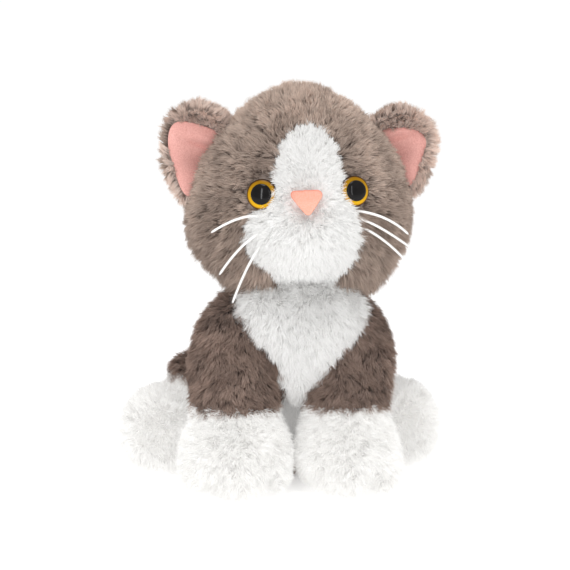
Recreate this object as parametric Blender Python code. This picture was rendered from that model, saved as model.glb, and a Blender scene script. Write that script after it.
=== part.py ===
"""A sitting plush kitten, as the separate sewn, stuffed and fitted pieces that it is made of.

The cat faces -Y and its left side is +X. The floor is Z = 0, and the origin lies on the flat base
panel. The pile is not modelled here: each skin panel is a firm layer about as thick as the
backing with the dense part of its pile.
"""

import math

import bmesh
import bpy
from mathutils import Matrix, Vector
from mathutils.bvhtree import BVHTree

MM = 0.001

# Sewing and fitting
SKIN = 4.0 * MM  # thickness of a skin panel
GAP = 0.3 * MM  # between two pieces that touch
CLEARANCE = 0.6 * MM  # between a limb's round end and the socket it turns in
FAR = 1.0  # beyond the cat in any direction
CREASE = math.radians(50)  # sharper edges than this are not smoothed over

# Torso
TORSO_TOP = 99.0 * MM
TORSO_CENTRE_Y = 10.0 * MM
FLANK_ROUNDING = 0.5 * MM  # how far a flank falls away from flat towards its edges
TORSO_SEAM_X = 4.0 * MM  # where the left and right panels meet
BASE_RIM = 4.0 * MM  # height of the base panel's turned-up edge
POUCH_TOP = 16.0 * MM
BIB_TOP_HALF_WIDTH = 31.0 * MM
BIB_CENTRE_X = 5.0 * MM
BIB_TOP = 88.0 * MM
BIB_TIP = 50.0 * MM
BIB_REAR_Y = 6.0 * MM
BIB_STEPS = 9

# Neck, on which the head turns and nods
NECK = Vector((10.0, 2.0, 104.8)) * MM
NECK_BALL = 16.0 * MM
NECK_BASE_RADIUS = 17.0 * MM
NECK_OPENING_TOP = -1.5 * MM  # from here down the head is cut open around the neck
NECK_OPENING_FLARE = (25.0 * MM, 45.0 * MM)  # the opening's radius at its top and 50 mm down

# Head, measured from the neck point
HEAD_WIDEST = 27.0 * MM
HEAD_RISE = 66.0 * MM
HEAD_DROP = 36.0 * MM
HEAD_HALF_WIDTH = 55.0 * MM
HEAD_FRONT = 50.0 * MM
HEAD_REAR = 45.0 * MM
HEAD_OFFSET_Y = -6.0 * MM
HEAD_TURN = math.radians(-2.0)
HEAD_ROLL = math.radians(-1.5)
MUZZLE_HEIGHT = 23.0 * MM
MUZZLE_DEPTH = 15.0 * MM
MUZZLE_SPREAD = (21.0 * MM, 16.0 * MM)  # across and up
BRIDGE_HEIGHT = 42.0 * MM
BRIDGE_DEPTH = 5.0 * MM
BRIDGE_SPREAD = (12.0 * MM, 14.0 * MM)
FACE_LOW = 5.0 * MM
FACE_HIGH = 77.0 * MM
FACE_STEPS = 16
FACE_REAR_Y = -12.0 * MM
HEAD_SOLVER = "MANIFOLD"  # the exact solver leaves the thin webs beside the eyes open

# Eyes and nose, measured from the neck point
EYE_X = 22.3 * MM
EYE_Z = 42.8 * MM
EYE_RADIUS = 7.5 * MM
EYE_SINK = 0.2 * MM  # how deep the back of the eye sits in the pile
EYE_DEPTH = 3.2 * MM
PUPIL_RADIUS = 5.1 * MM
PUPIL_LIP = 0.8 * MM  # how far the pupil overlaps the amber ring
PUPIL_DOME = 2.0 * MM
SHANK_RADIUS = 1.5 * MM
SHANK_LENGTH = 13.0 * MM
WASHER_RADIUS = 5.5 * MM
WASHER_THICKNESS = 1.4 * MM
NOSE_X = -1.8 * MM
NOSE_Z = 40.6 * MM
NOSE_WIDTH = 15.5 * MM
NOSE_HEIGHT = 11.5 * MM
NOSE_THICKNESS = 3.0 * MM
NOSE_CORNER = 2.2 * MM
WHISKER_RADIUS = 0.6 * MM

# Ears, measured from the neck point on the cat's left side
EAR_INNER_TOP = Vector((33.0, -2.0, 79.0)) * MM
EAR_OUTER_LOW = Vector((56.0, -2.0, 38.0)) * MM
EAR_FORWARD_LEAN = 0.12
EAR_ROOT = 4.0 * MM  # how far the sheet reaches into the head before it is trimmed
EAR_HINGE = 3.0 * MM  # the fold line, out from the line between the base's ends
EAR_HALF_BASE = 22.0 * MM
EAR_HEIGHT = 29.0 * MM
EAR_THICKNESS = 2.6 * MM
LINING_THICKNESS = 1.6 * MM
EAR_CUP = 8.0 * MM
EAR_CURL = 3.0 * MM  # how far the tip curls forward
LINING_SHARE = 0.84  # the lining's size beside the ear's
EAR_CLEARANCE = 1.6 * MM

# Front legs
SHOULDER_SPREAD = 26.0 * MM
SHOULDER_SHIFT = 2.5 * MM
SHOULDER_Y = -24.0 * MM
SHOULDER_Z = 70.0 * MM
SHOULDER_RADIUS = 20.0 * MM
SHOULDER_DOME = [math.radians(20), math.radians(40), math.radians(60), math.radians(80)]
CUFF_Z = 40.0 * MM
PAW_SPREAD = 28.5 * MM
RIGHT_PAW_HALF_WIDTH = 27.0 * MM
LEFT_PAW_HALF_WIDTH = 25.0 * MM
TOE_DEPTH = 5.0 * MM
TOE_SPACING = math.radians(48)
TOE_SWEEP = math.radians(78)  # the toes fade out this far round from the front
TOE_TOP = 24.0 * MM

# Hind legs
HIP_X = 34.0 * MM
HIP_Y = 20.0 * MM
HIP_Z = 27.0 * MM
HAUNCH_BULGE = 20.0 * MM
HAUNCH_LENGTH = 29.0 * MM
HAUNCH_RISE = 32.0 * MM
FOOT_X = 60.0 * MM
FOOT_RADIUS = 21.5 * MM
SOLE_RADIUS = 16.0 * MM
SOLE_Y = -10.0 * MM
FOOT_REAR = 36.0 * MM
FOOT_TURN_IN = 10.0 * MM  # how far the foot bends in towards the ankle
ANKLE = Vector((48.0, 14.0, 0.0)) * MM
ANKLE_ANGLE = math.radians(-42)

# Tail
TAIL_ROOT = Vector((3.0, 50.5, 12.0)) * MM
TAIL_RADIUS = 10.0 * MM
TAIL_TIP_RADIUS = 7.5 * MM
TAIL_LENGTH = 50.0 * MM
TAIL_SWEEP = 14.0 * MM
TAIL_SINK = 2.5 * MM
TAIL_SKIN = 2.0 * MM
TAIL_MOUTH = Vector((6.0, 14.0, 6.0)) * MM  # the opening in the tail's round root

# Colour, roughness, metallic
GREY_PILE = ((0.235, 0.180, 0.155, 1), 0.95, 0.0)
WHITE_PILE = ((0.88, 0.87, 0.84, 1), 0.95, 0.0)
SOLE_PILE = ((0.86, 0.85, 0.82, 1), 0.9, 0.0)
PINK_VELOUR = ((0.70, 0.31, 0.27, 1), 0.9, 0.0)
NOSE_PINK = ((0.92, 0.56, 0.46, 1), 0.85, 0.0)
FIBRE = ((0.90, 0.90, 0.90, 1), 1.0, 0.0)
POUCH_CLOTH = ((0.80, 0.78, 0.72, 1), 0.9, 0.0)
AMBER = ((0.72, 0.40, 0.02, 1), 0.15, 0.0)
BLACK_PLASTIC = ((0.004, 0.003, 0.003, 1), 0.06, 0.0)
WASHER_PLASTIC = ((0.75, 0.75, 0.73, 1), 0.4, 0.0)
WHISKER_THREAD = ((0.93, 0.92, 0.90, 1), 0.5, 0.0)


def clear_scene():
    for thing in list(bpy.data.objects):
        bpy.data.objects.remove(thing, do_unlink=True)


def finish_mesh(name, mesh_data, finish):
    """Turn a bmesh into a named object with its faces out, smooth shading and its own material.

    Warped quads are split one fixed way, so that a filling keeps its distance from its skin.
    """
    bmesh.ops.recalc_face_normals(mesh_data, faces=mesh_data.faces)
    quads = [face for face in mesh_data.faces if len(face.verts) == 4]
    bmesh.ops.triangulate(mesh_data, faces=quads, quad_method="FIXED")
    mesh = bpy.data.meshes.new(name)
    mesh_data.to_mesh(mesh)
    mesh_data.free()
    mesh.shade_smooth()
    mesh.set_sharp_from_angle(angle=CREASE)
    piece = bpy.data.objects.new(name, mesh)
    bpy.context.collection.objects.link(piece)
    if finish:
        paint(piece, finish)
    return piece


def paint(piece, finish):
    colour, roughness, metallic = finish
    material = bpy.data.materials.new(piece.name)
    material.use_nodes = True
    shader = material.node_tree.nodes["Principled BSDF"]
    shader.inputs["Base Color"].default_value = colour
    shader.inputs["Roughness"].default_value = roughness
    shader.inputs["Metallic"].default_value = metallic
    piece.data.materials.clear()
    piece.data.materials.append(material)


def apply_boolean(target, tool, operation, solver="EXACT"):
    modifier = target.modifiers.new(operation, "BOOLEAN")
    modifier.operation = operation
    modifier.solver = solver
    modifier.object = tool
    bpy.context.view_layer.objects.active = target
    bpy.ops.object.modifier_apply(modifier=modifier.name)


def cut(target, *tools, solver="EXACT"):
    for tool in tools:
        apply_boolean(target, tool, "DIFFERENCE", solver)
    return target


def keep_within(target, *tools, solver="EXACT"):
    for tool in tools:
        apply_boolean(target, tool, "INTERSECT", solver)
    return target


def merge(target, *tools):
    for tool in tools:
        apply_boolean(target, tool, "UNION")
    return target


def copy_of(piece, name):
    twin = piece.copy()
    twin.data = piece.data.copy()
    twin.name = name
    bpy.context.collection.objects.link(twin)
    return twin


def named(piece, name, finish):
    piece.name = name
    piece.data.name = name
    piece.data.shade_smooth()
    piece.data.set_sharp_from_angle(angle=CREASE)
    paint(piece, finish)
    return piece


def discard(*pieces):
    for piece in pieces:
        bpy.data.objects.remove(piece, do_unlink=True)


def move(piece, matrix):
    piece.data.transform(matrix)
    if matrix.determinant() < 0:
        piece.data.flip_normals()
    return piece


def smooth_through(*stations):
    """A function that runs smoothly through (position, value) pairs, with no overshoot at its turns."""
    places = [s[0] for s in stations]
    values = [s[1] for s in stations]
    slopes = [(b - a) / (q - p) for p, q, a, b in zip(places, places[1:], values, values[1:])]
    tangents = [slopes[0]]
    for before, after in zip(slopes, slopes[1:]):
        tangents.append(0.0 if before * after <= 0 else 2 * before * after / (before + after))
    tangents.append(slopes[-1])

    def value_at(place):
        place = min(max(place, places[0]), places[-1])
        i = max(k for k in range(len(places) - 1) if places[k] <= place)
        span = places[i + 1] - places[i]
        t = (place - places[i]) / span
        rise = (2 * t**3 - 3 * t**2 + 1) * values[i] + (3 * t**2 - 2 * t**3) * values[i + 1]
        lean = (t**3 - 2 * t**2 + t) * tangents[i] + (t**3 - t**2) * tangents[i + 1]
        return rise + span * lean

    return value_at


def loft(name, rings, finish=None):
    """A closed skin over rings that have the same number of points, with flat ends."""
    data = bmesh.new()
    rows = [[data.verts.new(point) for point in ring] for ring in rings]
    for low, high in zip(rows, rows[1:]):
        for i in range(len(low)):
            j = (i + 1) % len(low)
            data.faces.new((low[i], low[j], high[j], high[i]))
    data.faces.new(reversed(rows[0]))
    data.faces.new(rows[-1])
    return finish_mesh(name, data, finish)


def ring_angles(count):
    return [math.tau * i / count for i in range(count)]


def levels_between(start, end, step):
    """The start, each multiple of the step that is well inside, and the end.

    A skin's hollow and its filling so share their levels, and stay parallel.
    """
    first = math.ceil((start + step / 3) / step)
    last = math.floor((end - step / 3) / step)
    return [start] + [step * k for k in range(first, last + 1)] + [end]


def slab(name, low, high):
    """A box between two corners."""
    low, high = Vector(low), Vector(high)
    data = bmesh.new()
    bmesh.ops.create_cube(data, size=1.0)
    bmesh.ops.scale(data, vec=high - low, verts=data.verts)
    bmesh.ops.translate(data, vec=(low + high) / 2, verts=data.verts)
    return finish_mesh(name, data, None)


def ball(name, centre, radius, segments=28, rings=16):
    data = bmesh.new()
    bmesh.ops.create_uvsphere(data, u_segments=segments, v_segments=rings, radius=radius)
    bmesh.ops.translate(data, vec=centre, verts=data.verts)
    return finish_mesh(name, data, None)


def prism(name, outline, front, rear):
    """An upright outline of (x, z) points, carried along Y from front to rear."""
    rings = [[(x, y, z) for x, z in outline] for y in (front, rear)]
    return loft(name, rings)


def turned(name, profile, segments, finish=None):
    """A piece turned about Z from an outline of (radius, height) points, on the axis or in a ring."""
    data = bmesh.new()
    points = [data.verts.new((r, 0, h)) for r, h in profile]
    edges = [data.edges.new(pair) for pair in zip(points, points[1:])]
    if profile[0][0] > 0:
        edges.append(data.edges.new((points[-1], points[0])))
    bmesh.ops.spin(
        data,
        geom=points + edges,
        cent=(0, 0, 0),
        axis=(0, 0, 1),
        angle=math.tau,
        steps=segments,
        use_merge=True,
    )
    bmesh.ops.remove_doubles(data, verts=data.verts, dist=0.00001)
    return finish_mesh(name, data, finish)


# ---------------------------------------------------------------- torso


TORSO_HALF_WIDTH = smooth_through(
    (0.0, 29 * MM), (10 * MM, 37 * MM), (30 * MM, 40 * MM), (55 * MM, 40 * MM),
    (75 * MM, 40 * MM), (88 * MM, 36 * MM), (94 * MM, 30 * MM), (TORSO_TOP, 20 * MM),
)
TORSO_FRONT = smooth_through(
    (0.0, 22 * MM), (10 * MM, 30 * MM), (30 * MM, 35 * MM), (55 * MM, 40 * MM),
    (75 * MM, 44 * MM), (88 * MM, 41 * MM), (94 * MM, 34 * MM), (TORSO_TOP, 24 * MM),
)
TORSO_REAR = smooth_through(
    (0.0, 28 * MM), (10 * MM, 36 * MM), (30 * MM, 39 * MM), (55 * MM, 34 * MM),
    (75 * MM, 28 * MM), (88 * MM, 22 * MM), (94 * MM, 17 * MM), (TORSO_TOP, 10 * MM),
)
TORSO_SHIFT = smooth_through((0.0, 0.0), (50 * MM, 4 * MM), (TORSO_TOP, 6.5 * MM))
# The flanks are flat where the haunches lie against them, up to just over the haunches' tops
FLANK = smooth_through((62 * MM, HIP_X - CLEARANCE), (78 * MM, 48 * MM))


def torso_body(name, inset, bottom, top, segments=22, step=11 * MM):
    rings = []
    for z in levels_between(bottom, top, step):
        ring = []
        for angle in ring_angles(segments):
            side, ahead = math.cos(angle), math.sin(angle)
            depth = TORSO_REAR(z) if ahead > 0 else TORSO_FRONT(z)
            flank = FLANK(z) - inset - FLANK_ROUNDING * (ahead**2 + (z / HIP_Z - 1) ** 2)
            x = TORSO_SHIFT(z) + side * (TORSO_HALF_WIDTH(z) - inset)
            x = min(max(x, -flank), flank)
            y = TORSO_CENTRE_Y + ahead * (depth - inset)
            ring.append((x, y, z))
        rings.append(ring)
    return loft(name, rings)


def bib_outline(grow):
    """The chest panel's V with its soft upper corners, drawn from the tip round to the tip."""
    half_width = smooth_through(
        (BIB_TIP, 2 * MM), (BIB_TIP + 10 * MM, 8 * MM), (BIB_TIP + 26 * MM, 19 * MM),
        (BIB_TOP, BIB_TOP_HALF_WIDTH), (BIB_TOP + 14 * MM, BIB_TOP_HALF_WIDTH),
    )
    top = BIB_TOP + 14 * MM
    heights = [BIB_TIP + (top - BIB_TIP) * k / BIB_STEPS for k in range(BIB_STEPS + 1)]
    right = [(BIB_CENTRE_X + half_width(z) + grow, z - (grow if z == BIB_TIP else 0)) for z in heights]
    left = [(2 * BIB_CENTRE_X - x, z) for x, z in reversed(right)]
    return right + left


def build_torso(sockets):
    outer = torso_body("outer", 0.0, 0.0, TORSO_TOP)
    hollow = torso_body("hollow", SKIN, SKIN, TORSO_TOP + 2 * MM, 16)
    core = torso_body("core", SKIN + 2 * GAP, SKIN + GAP, TORSO_TOP - GAP, 16)
    cut(outer, hollow)
    discard(hollow)

    below = slab("below", (-FAR, -FAR, -FAR), (FAR, FAR, BASE_RIM))
    above = slab("above", (-FAR, -FAR, BASE_RIM + GAP), (FAR, FAR, FAR))
    base = keep_within(copy_of(outer, "base"), below)
    sides = keep_within(outer, above)
    discard(below, above)

    bib_tool = prism("bib_tool", bib_outline(0.0), -FAR, BIB_REAR_Y)
    gap_tool = prism("gap_tool", bib_outline(GAP), -FAR, BIB_REAR_Y)
    bib = keep_within(copy_of(sides, "bib"), bib_tool)
    cut(sides, gap_tool)
    discard(bib_tool, gap_tool)

    left_half = slab("left_half", (TORSO_SEAM_X + GAP / 2, -FAR, -FAR), (FAR, FAR, FAR))
    right_half = slab("right_half", (-FAR, -FAR, -FAR), (TORSO_SEAM_X - GAP / 2, FAR, FAR))
    left = keep_within(copy_of(sides, "left"), left_half)
    right = keep_within(sides, right_half)
    discard(left_half, right_half)

    pouch_room = slab("pouch_room", (-FAR, -FAR, -FAR), (FAR, FAR, POUCH_TOP))
    core_room = slab("core_room", (-FAR, -FAR, POUCH_TOP + GAP), (FAR, FAR, FAR))
    pouch = keep_within(copy_of(core, "pouch"), pouch_room)
    keep_within(core, core_room)
    discard(pouch_room, core_room)

    for piece in (left, right, bib, base, pouch, core):
        cut(piece, *sockets)
    named(left, "torso_left_panel", GREY_PILE)
    named(right, "torso_right_panel", GREY_PILE)
    named(bib, "chest_bib", WHITE_PILE)
    named(base, "base_panel", GREY_PILE)
    named(pouch, "pellet_pouch", POUCH_CLOTH)
    named(core, "torso_stuffing", FIBRE)


# ---------------------------------------------------------------- head


def head_point(direction, inset):
    """Where the head's surface lies in a direction from its middle, measured from the neck point."""
    flat = math.hypot(direction.x, direction.y)
    rise = HEAD_RISE if direction.z > 0 else HEAD_DROP
    power = 1.3 if direction.z > 0 else 0.8
    reach = flat**power / max(flat, 1e-9)
    depth = HEAD_REAR if direction.y > 0 else HEAD_FRONT
    x = (HEAD_HALF_WIDTH - inset) * reach * direction.x
    y = (depth - inset) * reach * direction.y + HEAD_OFFSET_Y
    z = HEAD_WIDEST + (rise - inset) * direction.z
    facing = max(0.0, -direction.y) ** 0.5
    across = HEAD_HALF_WIDTH * reach * direction.x
    up = HEAD_WIDEST + rise * direction.z
    muzzle = swelling(across, up - MUZZLE_HEIGHT, MUZZLE_SPREAD)
    bridge = swelling(across, up - BRIDGE_HEIGHT, BRIDGE_SPREAD)
    y -= facing * (MUZZLE_DEPTH * muzzle + BRIDGE_DEPTH * bridge)
    return Vector((x, y, z))


def swelling(across, up, spread):
    """A round bulge: 1 in its middle, and fading to nothing over the spread."""
    return math.exp(-((across / spread[0]) ** 2) - (up / spread[1]) ** 2)


def head_body(name, inset, segments=24, rings=16):
    """The head, with a column of faces across its middle plane, where the seam is cut."""
    data = bmesh.new()
    bmesh.ops.create_uvsphere(data, u_segments=segments, v_segments=rings, radius=1.0)
    bmesh.ops.transform(data, matrix=Matrix.Rotation(math.pi / segments, 4, "Z"), verts=data.verts)
    for vert in data.verts:
        vert.co = head_point(vert.co.normalized(), inset)
    return finish_mesh(name, data, None)


def face_outline(grow):
    """The white panel: a narrow blaze over the brow, widening into the muzzle."""
    half_width = smooth_through(
        (FACE_LOW, 6 * MM), (9 * MM, 17 * MM), (15 * MM, 25 * MM), (22 * MM, 28 * MM),
        (29 * MM, 25 * MM), (37 * MM, 19 * MM), (46 * MM, 16.5 * MM), (57 * MM, 15 * MM),
        (68 * MM, 11.5 * MM), (74 * MM, 7 * MM), (FACE_HIGH, 3 * MM),
    )
    heights = [FACE_LOW + (FACE_HIGH - FACE_LOW) * k / FACE_STEPS for k in range(FACE_STEPS + 1)]
    widths = [half_width(z) + grow for z in heights]
    heights[0] -= grow
    heights[-1] += grow
    rows = list(zip(widths, heights))
    return rows + [(-x, z) for x, z in reversed(rows)]


def surface_beneath(skin, x, z):
    """The point and the outward direction of the head's front at (x, z)."""
    tree = BVHTree.FromObject(skin, bpy.context.evaluated_depsgraph_get())
    point, normal, _, _ = tree.ray_cast(Vector((x, -FAR, z)), Vector((0, 1, 0)))
    return point, normal


def rounded_dome(radius, height, steps):
    """Profile points from the rim of a shallow dome up to its crown."""
    angles = [math.pi / 2 * k / steps for k in range(steps + 1)]
    return [(radius * math.cos(a), height * math.sin(a)) for a in angles]


def drill(name, radius, depth, segments):
    """A cylinder along Z from a depth up to just over the seat."""
    top = 10 * MM
    return turned(name, [(0, depth), (radius, depth), (radius, top), (0, top)], segments)


def build_eye(side, skin):
    """One safety eye: an amber ring, a black pupil on a shank, and the washer that locks it."""
    label = "left" if side > 0 else "right"
    point, normal = surface_beneath(skin, side * EYE_X, EYE_Z)
    axis = (normal + Vector((0, -0.8, -0.1))).normalized()
    seat = point - axis * EYE_SINK
    place = Matrix.Translation(seat) @ axis.to_track_quat("Z", "Y").to_matrix().to_4x4()

    bore = PUPIL_RADIUS - PUPIL_LIP
    crown = [(r, 1.4 * MM + h) for r, h in rounded_dome(EYE_RADIUS, 2.2 * MM, 3) if r > bore]
    ring = [(bore, 0.0), (EYE_RADIUS - 0.6 * MM, 0.0), (EYE_RADIUS, 0.7 * MM)] + crown
    iris = turned(f"{label}_eye_iris", ring + [(bore, EYE_DEPTH)], 18, AMBER)

    foot = [(0.0, -SHANK_LENGTH), (SHANK_RADIUS, -SHANK_LENGTH), (SHANK_RADIUS, GAP)]
    neck_radius = bore - GAP
    brim = EYE_DEPTH + 0.7 * MM
    stem = foot + [(neck_radius, GAP), (neck_radius, EYE_DEPTH + GAP), (PUPIL_RADIUS, brim)]
    dome = [(r, brim + h) for r, h in rounded_dome(PUPIL_RADIUS, PUPIL_DOME, 3)[1:-1]]
    profile = stem + dome + [(0.0, brim + PUPIL_DOME)]
    pupil = turned(f"{label}_eye_pupil", profile, 18, BLACK_PLASTIC)

    back = -SKIN - EYE_DEPTH
    hole = SHANK_RADIUS + GAP
    outline = [
        (hole, back - WASHER_THICKNESS), (WASHER_RADIUS, back - WASHER_THICKNESS),
        (WASHER_RADIUS, back), (hole, back),
    ]
    washer = turned(f"{label}_eye_washer", outline, 12, WASHER_PLASTIC)

    room = EYE_RADIUS + GAP
    seat_tool = drill("seat_tool", room, -GAP, 20)
    bore_tool = drill("bore_tool", hole, -SHANK_LENGTH - GAP, 10)
    washer_tool = drill("washer_tool", WASHER_RADIUS + GAP, back - WASHER_THICKNESS - GAP, 14)
    for piece in (iris, pupil, washer, seat_tool, bore_tool, washer_tool):
        move(piece, place)
    return [iris, pupil, washer], seat_tool, bore_tool, washer_tool


def build_nose():
    """A rounded triangle of flock that lies on the bridge of the muzzle."""
    outline = []
    for across, up in ((0.5, 0.36), (-0.5, 0.36), (0.0, -0.64)):
        x = across * (NOSE_WIDTH - 2 * NOSE_CORNER)
        z = up * (NOSE_HEIGHT - 2 * NOSE_CORNER)
        outward = math.atan2(z, x)
        for k in (-2, -1, 0, 1, 2):
            angle = outward + k * math.radians(30)
            corner = (x + NOSE_CORNER * math.cos(angle), z + NOSE_CORNER * math.sin(angle))
            outline.append((NOSE_X + corner[0], NOSE_Z + corner[1]))
    pad = head_body("nose", -NOSE_THICKNESS)
    room = head_body("room", -GAP)
    edge = prism("edge", outline, -FAR, -HEAD_FRONT / 2)
    keep_within(pad, edge)
    cut(pad, room)
    discard(room, edge)
    return named(pad, "nose", NOSE_PINK)


# Each whisker's root, bend and tip as (x, z) from the neck point, and how far out its tip stands
WHISKER_ROUTES = {
    "left_whisker_upper": ((20.6, 33.6), (35.8, 29.8), (47.6, 21.5), 56),
    "left_whisker_middle": ((22, 30), (33.2, 25.4), (49, 14.5), 54),
    "left_whisker_lower": ((23, 26), (34, 20), (46, 8.8), 52),
    "right_whisker_upper": ((-22, 32), (-33.6, 32), (-47.7, 26), 56),
    "right_whisker_middle": ((-21.8, 25.2), (-33, 18.2), (-44.3, 5.2), 55),
    "right_whisker_lower": ((-21.9, 20.2), (-30, 8.8), (-38.4, -8.8), 55),
}


def build_whisker(name, skin):
    """A stiff thread that leaves the muzzle and bends down to its tip."""
    root, bend, tip, reach = WHISKER_ROUTES[name]
    start, outward = surface_beneath(skin, root[0] * MM, root[1] * MM)
    start = start + outward * (WHISKER_RADIUS + 0.4 * MM)
    middle = Vector((bend[0] * MM, (start.y - reach * MM) / 2, bend[1] * MM))
    end = Vector((tip[0] * MM, -reach * MM, tip[1] * MM))
    control = 2 * middle - (start + end) / 2
    curve = bpy.data.curves.new(name, "CURVE")
    curve.dimensions = "3D"
    curve.bevel_depth = WHISKER_RADIUS
    curve.bevel_resolution = 1
    curve.use_fill_caps = True
    spline = curve.splines.new("POLY")
    steps = 7
    spline.points.add(steps)
    for k in range(steps + 1):
        t = k / steps
        point = (1 - t) ** 2 * start + 2 * t * (1 - t) * control + t**2 * end
        spline.points[k].co = (*point, 1.0)
    thread = bpy.data.objects.new(name, curve)
    bpy.context.collection.objects.link(thread)
    paint(thread, WHISKER_THREAD)
    return thread


def ear_base():
    """The middle of the left ear's base, and the directions along the base and out from the head."""
    along = (EAR_OUTER_LOW - EAR_INNER_TOP).normalized()
    outward = Vector((-along.z, -EAR_FORWARD_LEAN, along.x)).normalized()
    return (EAR_INNER_TOP + EAR_OUTER_LOW) / 2, along, outward


def ear_hinge(side):
    """A point on the line that the ear folds about."""
    middle, _, outward = ear_base()
    point = middle + outward * EAR_HINGE
    return Vector((side * point.x, point.y, point.z))


def ear_sheet(name, side, shrink, offset, thickness):
    """A cupped, round-cornered triangle with its base along the side of the head."""
    middle, along, outward = ear_base()
    ahead = Vector((0, -1, 0))
    rows, columns = 6, 9
    data = bmesh.new()
    grid = []
    for r in range(rows):
        t = r / (rows - 1)
        half = EAR_HALF_BASE * shrink * (1 - t**2.4) ** 0.62 + 1.2 * MM
        row = []
        for c in range(columns):
            u = 2 * c / (columns - 1) - 1
            lean = (0.10 - 0.34 * t) * EAR_HEIGHT
            spot = middle + along * (half * u + lean)
            spot += outward * (EAR_HEIGHT * shrink * t - EAR_ROOT)
            spot += ahead * (EAR_CUP * (half * u / EAR_HALF_BASE) ** 2 + EAR_CURL * t * t + offset)
            row.append(data.verts.new((side * spot.x, spot.y, spot.z)))
        grid.append(row)
    for low, high in zip(grid, grid[1:]):
        for i in range(columns - 1):
            data.faces.new((low[i], low[i + 1], high[i + 1], high[i]))
    sheet = finish_mesh(name, data, None)
    solid = sheet.modifiers.new("thickness", "SOLIDIFY")
    solid.thickness = thickness
    solid.offset = 0.0
    bpy.context.view_layer.objects.active = sheet
    bpy.ops.object.modifier_apply(modifier=solid.name)
    return sheet


def build_ear(side, room):
    label = "left" if side > 0 else "right"
    back = ear_sheet(f"{label}_ear_back", side, 1.0, 0.0, EAR_THICKNESS)
    forward = (EAR_THICKNESS + LINING_THICKNESS) / 2 + 4 * GAP
    lining = ear_sheet(f"{label}_ear_lining", side, LINING_SHARE, forward, LINING_THICKNESS)
    for piece in (back, lining):
        cut(piece, room)
    named(back, f"{label}_ear_back", GREY_PILE)
    named(lining, f"{label}_ear_lining", PINK_VELOUR)
    return [back, lining]


def build_head():
    skin = head_body("skin", 0.0)
    whole = copy_of(skin, "whole")
    hollow = head_body("hollow", SKIN, 16, 12)
    core = head_body("core", SKIN + 2 * GAP, 16, 12)
    pieces = [build_nose()]
    pieces += [build_whisker(name, whole) for name in WHISKER_ROUTES]

    socket = ball("socket", (0, 0, 0), NECK_BALL + CLEARANCE, 20, 12)
    narrow, broad = NECK_OPENING_FLARE
    opening = [(0, -50 * MM), (broad, -50 * MM), (narrow, NECK_OPENING_TOP), (0, NECK_OPENING_TOP)]
    beneath = turned("beneath", opening, 20)
    cut(skin, hollow, solver=HEAD_SOLVER)
    eye_tools = []
    for side in (1, -1):
        eye, seat_tool, bore_tool, washer_tool = build_eye(side, whole)
        pieces += eye
        eye_tools += [seat_tool, bore_tool, washer_tool]
        cut(skin, seat_tool, bore_tool, solver=HEAD_SOLVER)
        cut(core, bore_tool, washer_tool)
    cut(skin, socket, beneath, solver=HEAD_SOLVER)
    cut(core, socket, beneath)

    face_tool = prism("face_tool", face_outline(0.0), -FAR, FACE_REAR_Y)
    gap_tool = prism("gap_tool", face_outline(GAP), -FAR, FACE_REAR_Y)
    face = keep_within(copy_of(skin, "face"), face_tool, solver=HEAD_SOLVER)
    cut(skin, gap_tool, solver=HEAD_SOLVER)
    left_half = slab("left_half", (GAP / 2, -FAR, -FAR), (FAR, FAR, FAR))
    right_half = slab("right_half", (-FAR, -FAR, -FAR), (-GAP / 2, FAR, FAR))
    left = keep_within(copy_of(skin, "left"), left_half, solver=HEAD_SOLVER)
    right = keep_within(skin, right_half, solver=HEAD_SOLVER)

    room = head_body("room", -EAR_CLEARANCE)
    ears = {side: build_ear(side, room) for side in (1, -1)}
    discard(whole, hollow, socket, beneath, face_tool, gap_tool, left_half, right_half, room, *eye_tools)

    named(face, "face_panel", WHITE_PILE)
    named(left, "head_left_panel", GREY_PILE)
    named(right, "head_right_panel", GREY_PILE)
    named(core, "head_stuffing", FIBRE)
    pieces += [face, left, right, core]
    turn = Matrix.Rotation(HEAD_ROLL, 4, "Y") @ Matrix.Rotation(HEAD_TURN, 4, "Z")
    for piece in pieces:
        piece.data.transform(turn)
        piece.location = NECK
    for side, sheets in ears.items():
        for sheet in sheets:
            sheet.data.transform(turn @ Matrix.Translation(-ear_hinge(side)))
            sheet.location = NECK + turn @ ear_hinge(side)


def build_neck():
    """The firm wad that the head turns and nods on: a ball on a round foot."""
    foot = TORSO_TOP + GAP - NECK.z
    meet = -math.sqrt(NECK_BALL**2 - (NECK_BASE_RADIUS - 4 * MM) ** 2)
    steps = 7
    start = math.asin(max(meet, foot + 2 * MM) / NECK_BALL)
    angles = [start + (math.pi / 2 - start) * k / steps for k in range(steps)]
    dome = [(NECK_BALL * math.cos(a), NECK_BALL * math.sin(a)) for a in angles]
    profile = [(0, foot), (dome[0][0] - 1 * MM, foot)] + dome + [(0, NECK_BALL)]
    neck = turned("neck_stuffing", profile, 20, FIBRE)
    neck.location = NECK


# ---------------------------------------------------------------- front legs


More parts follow.
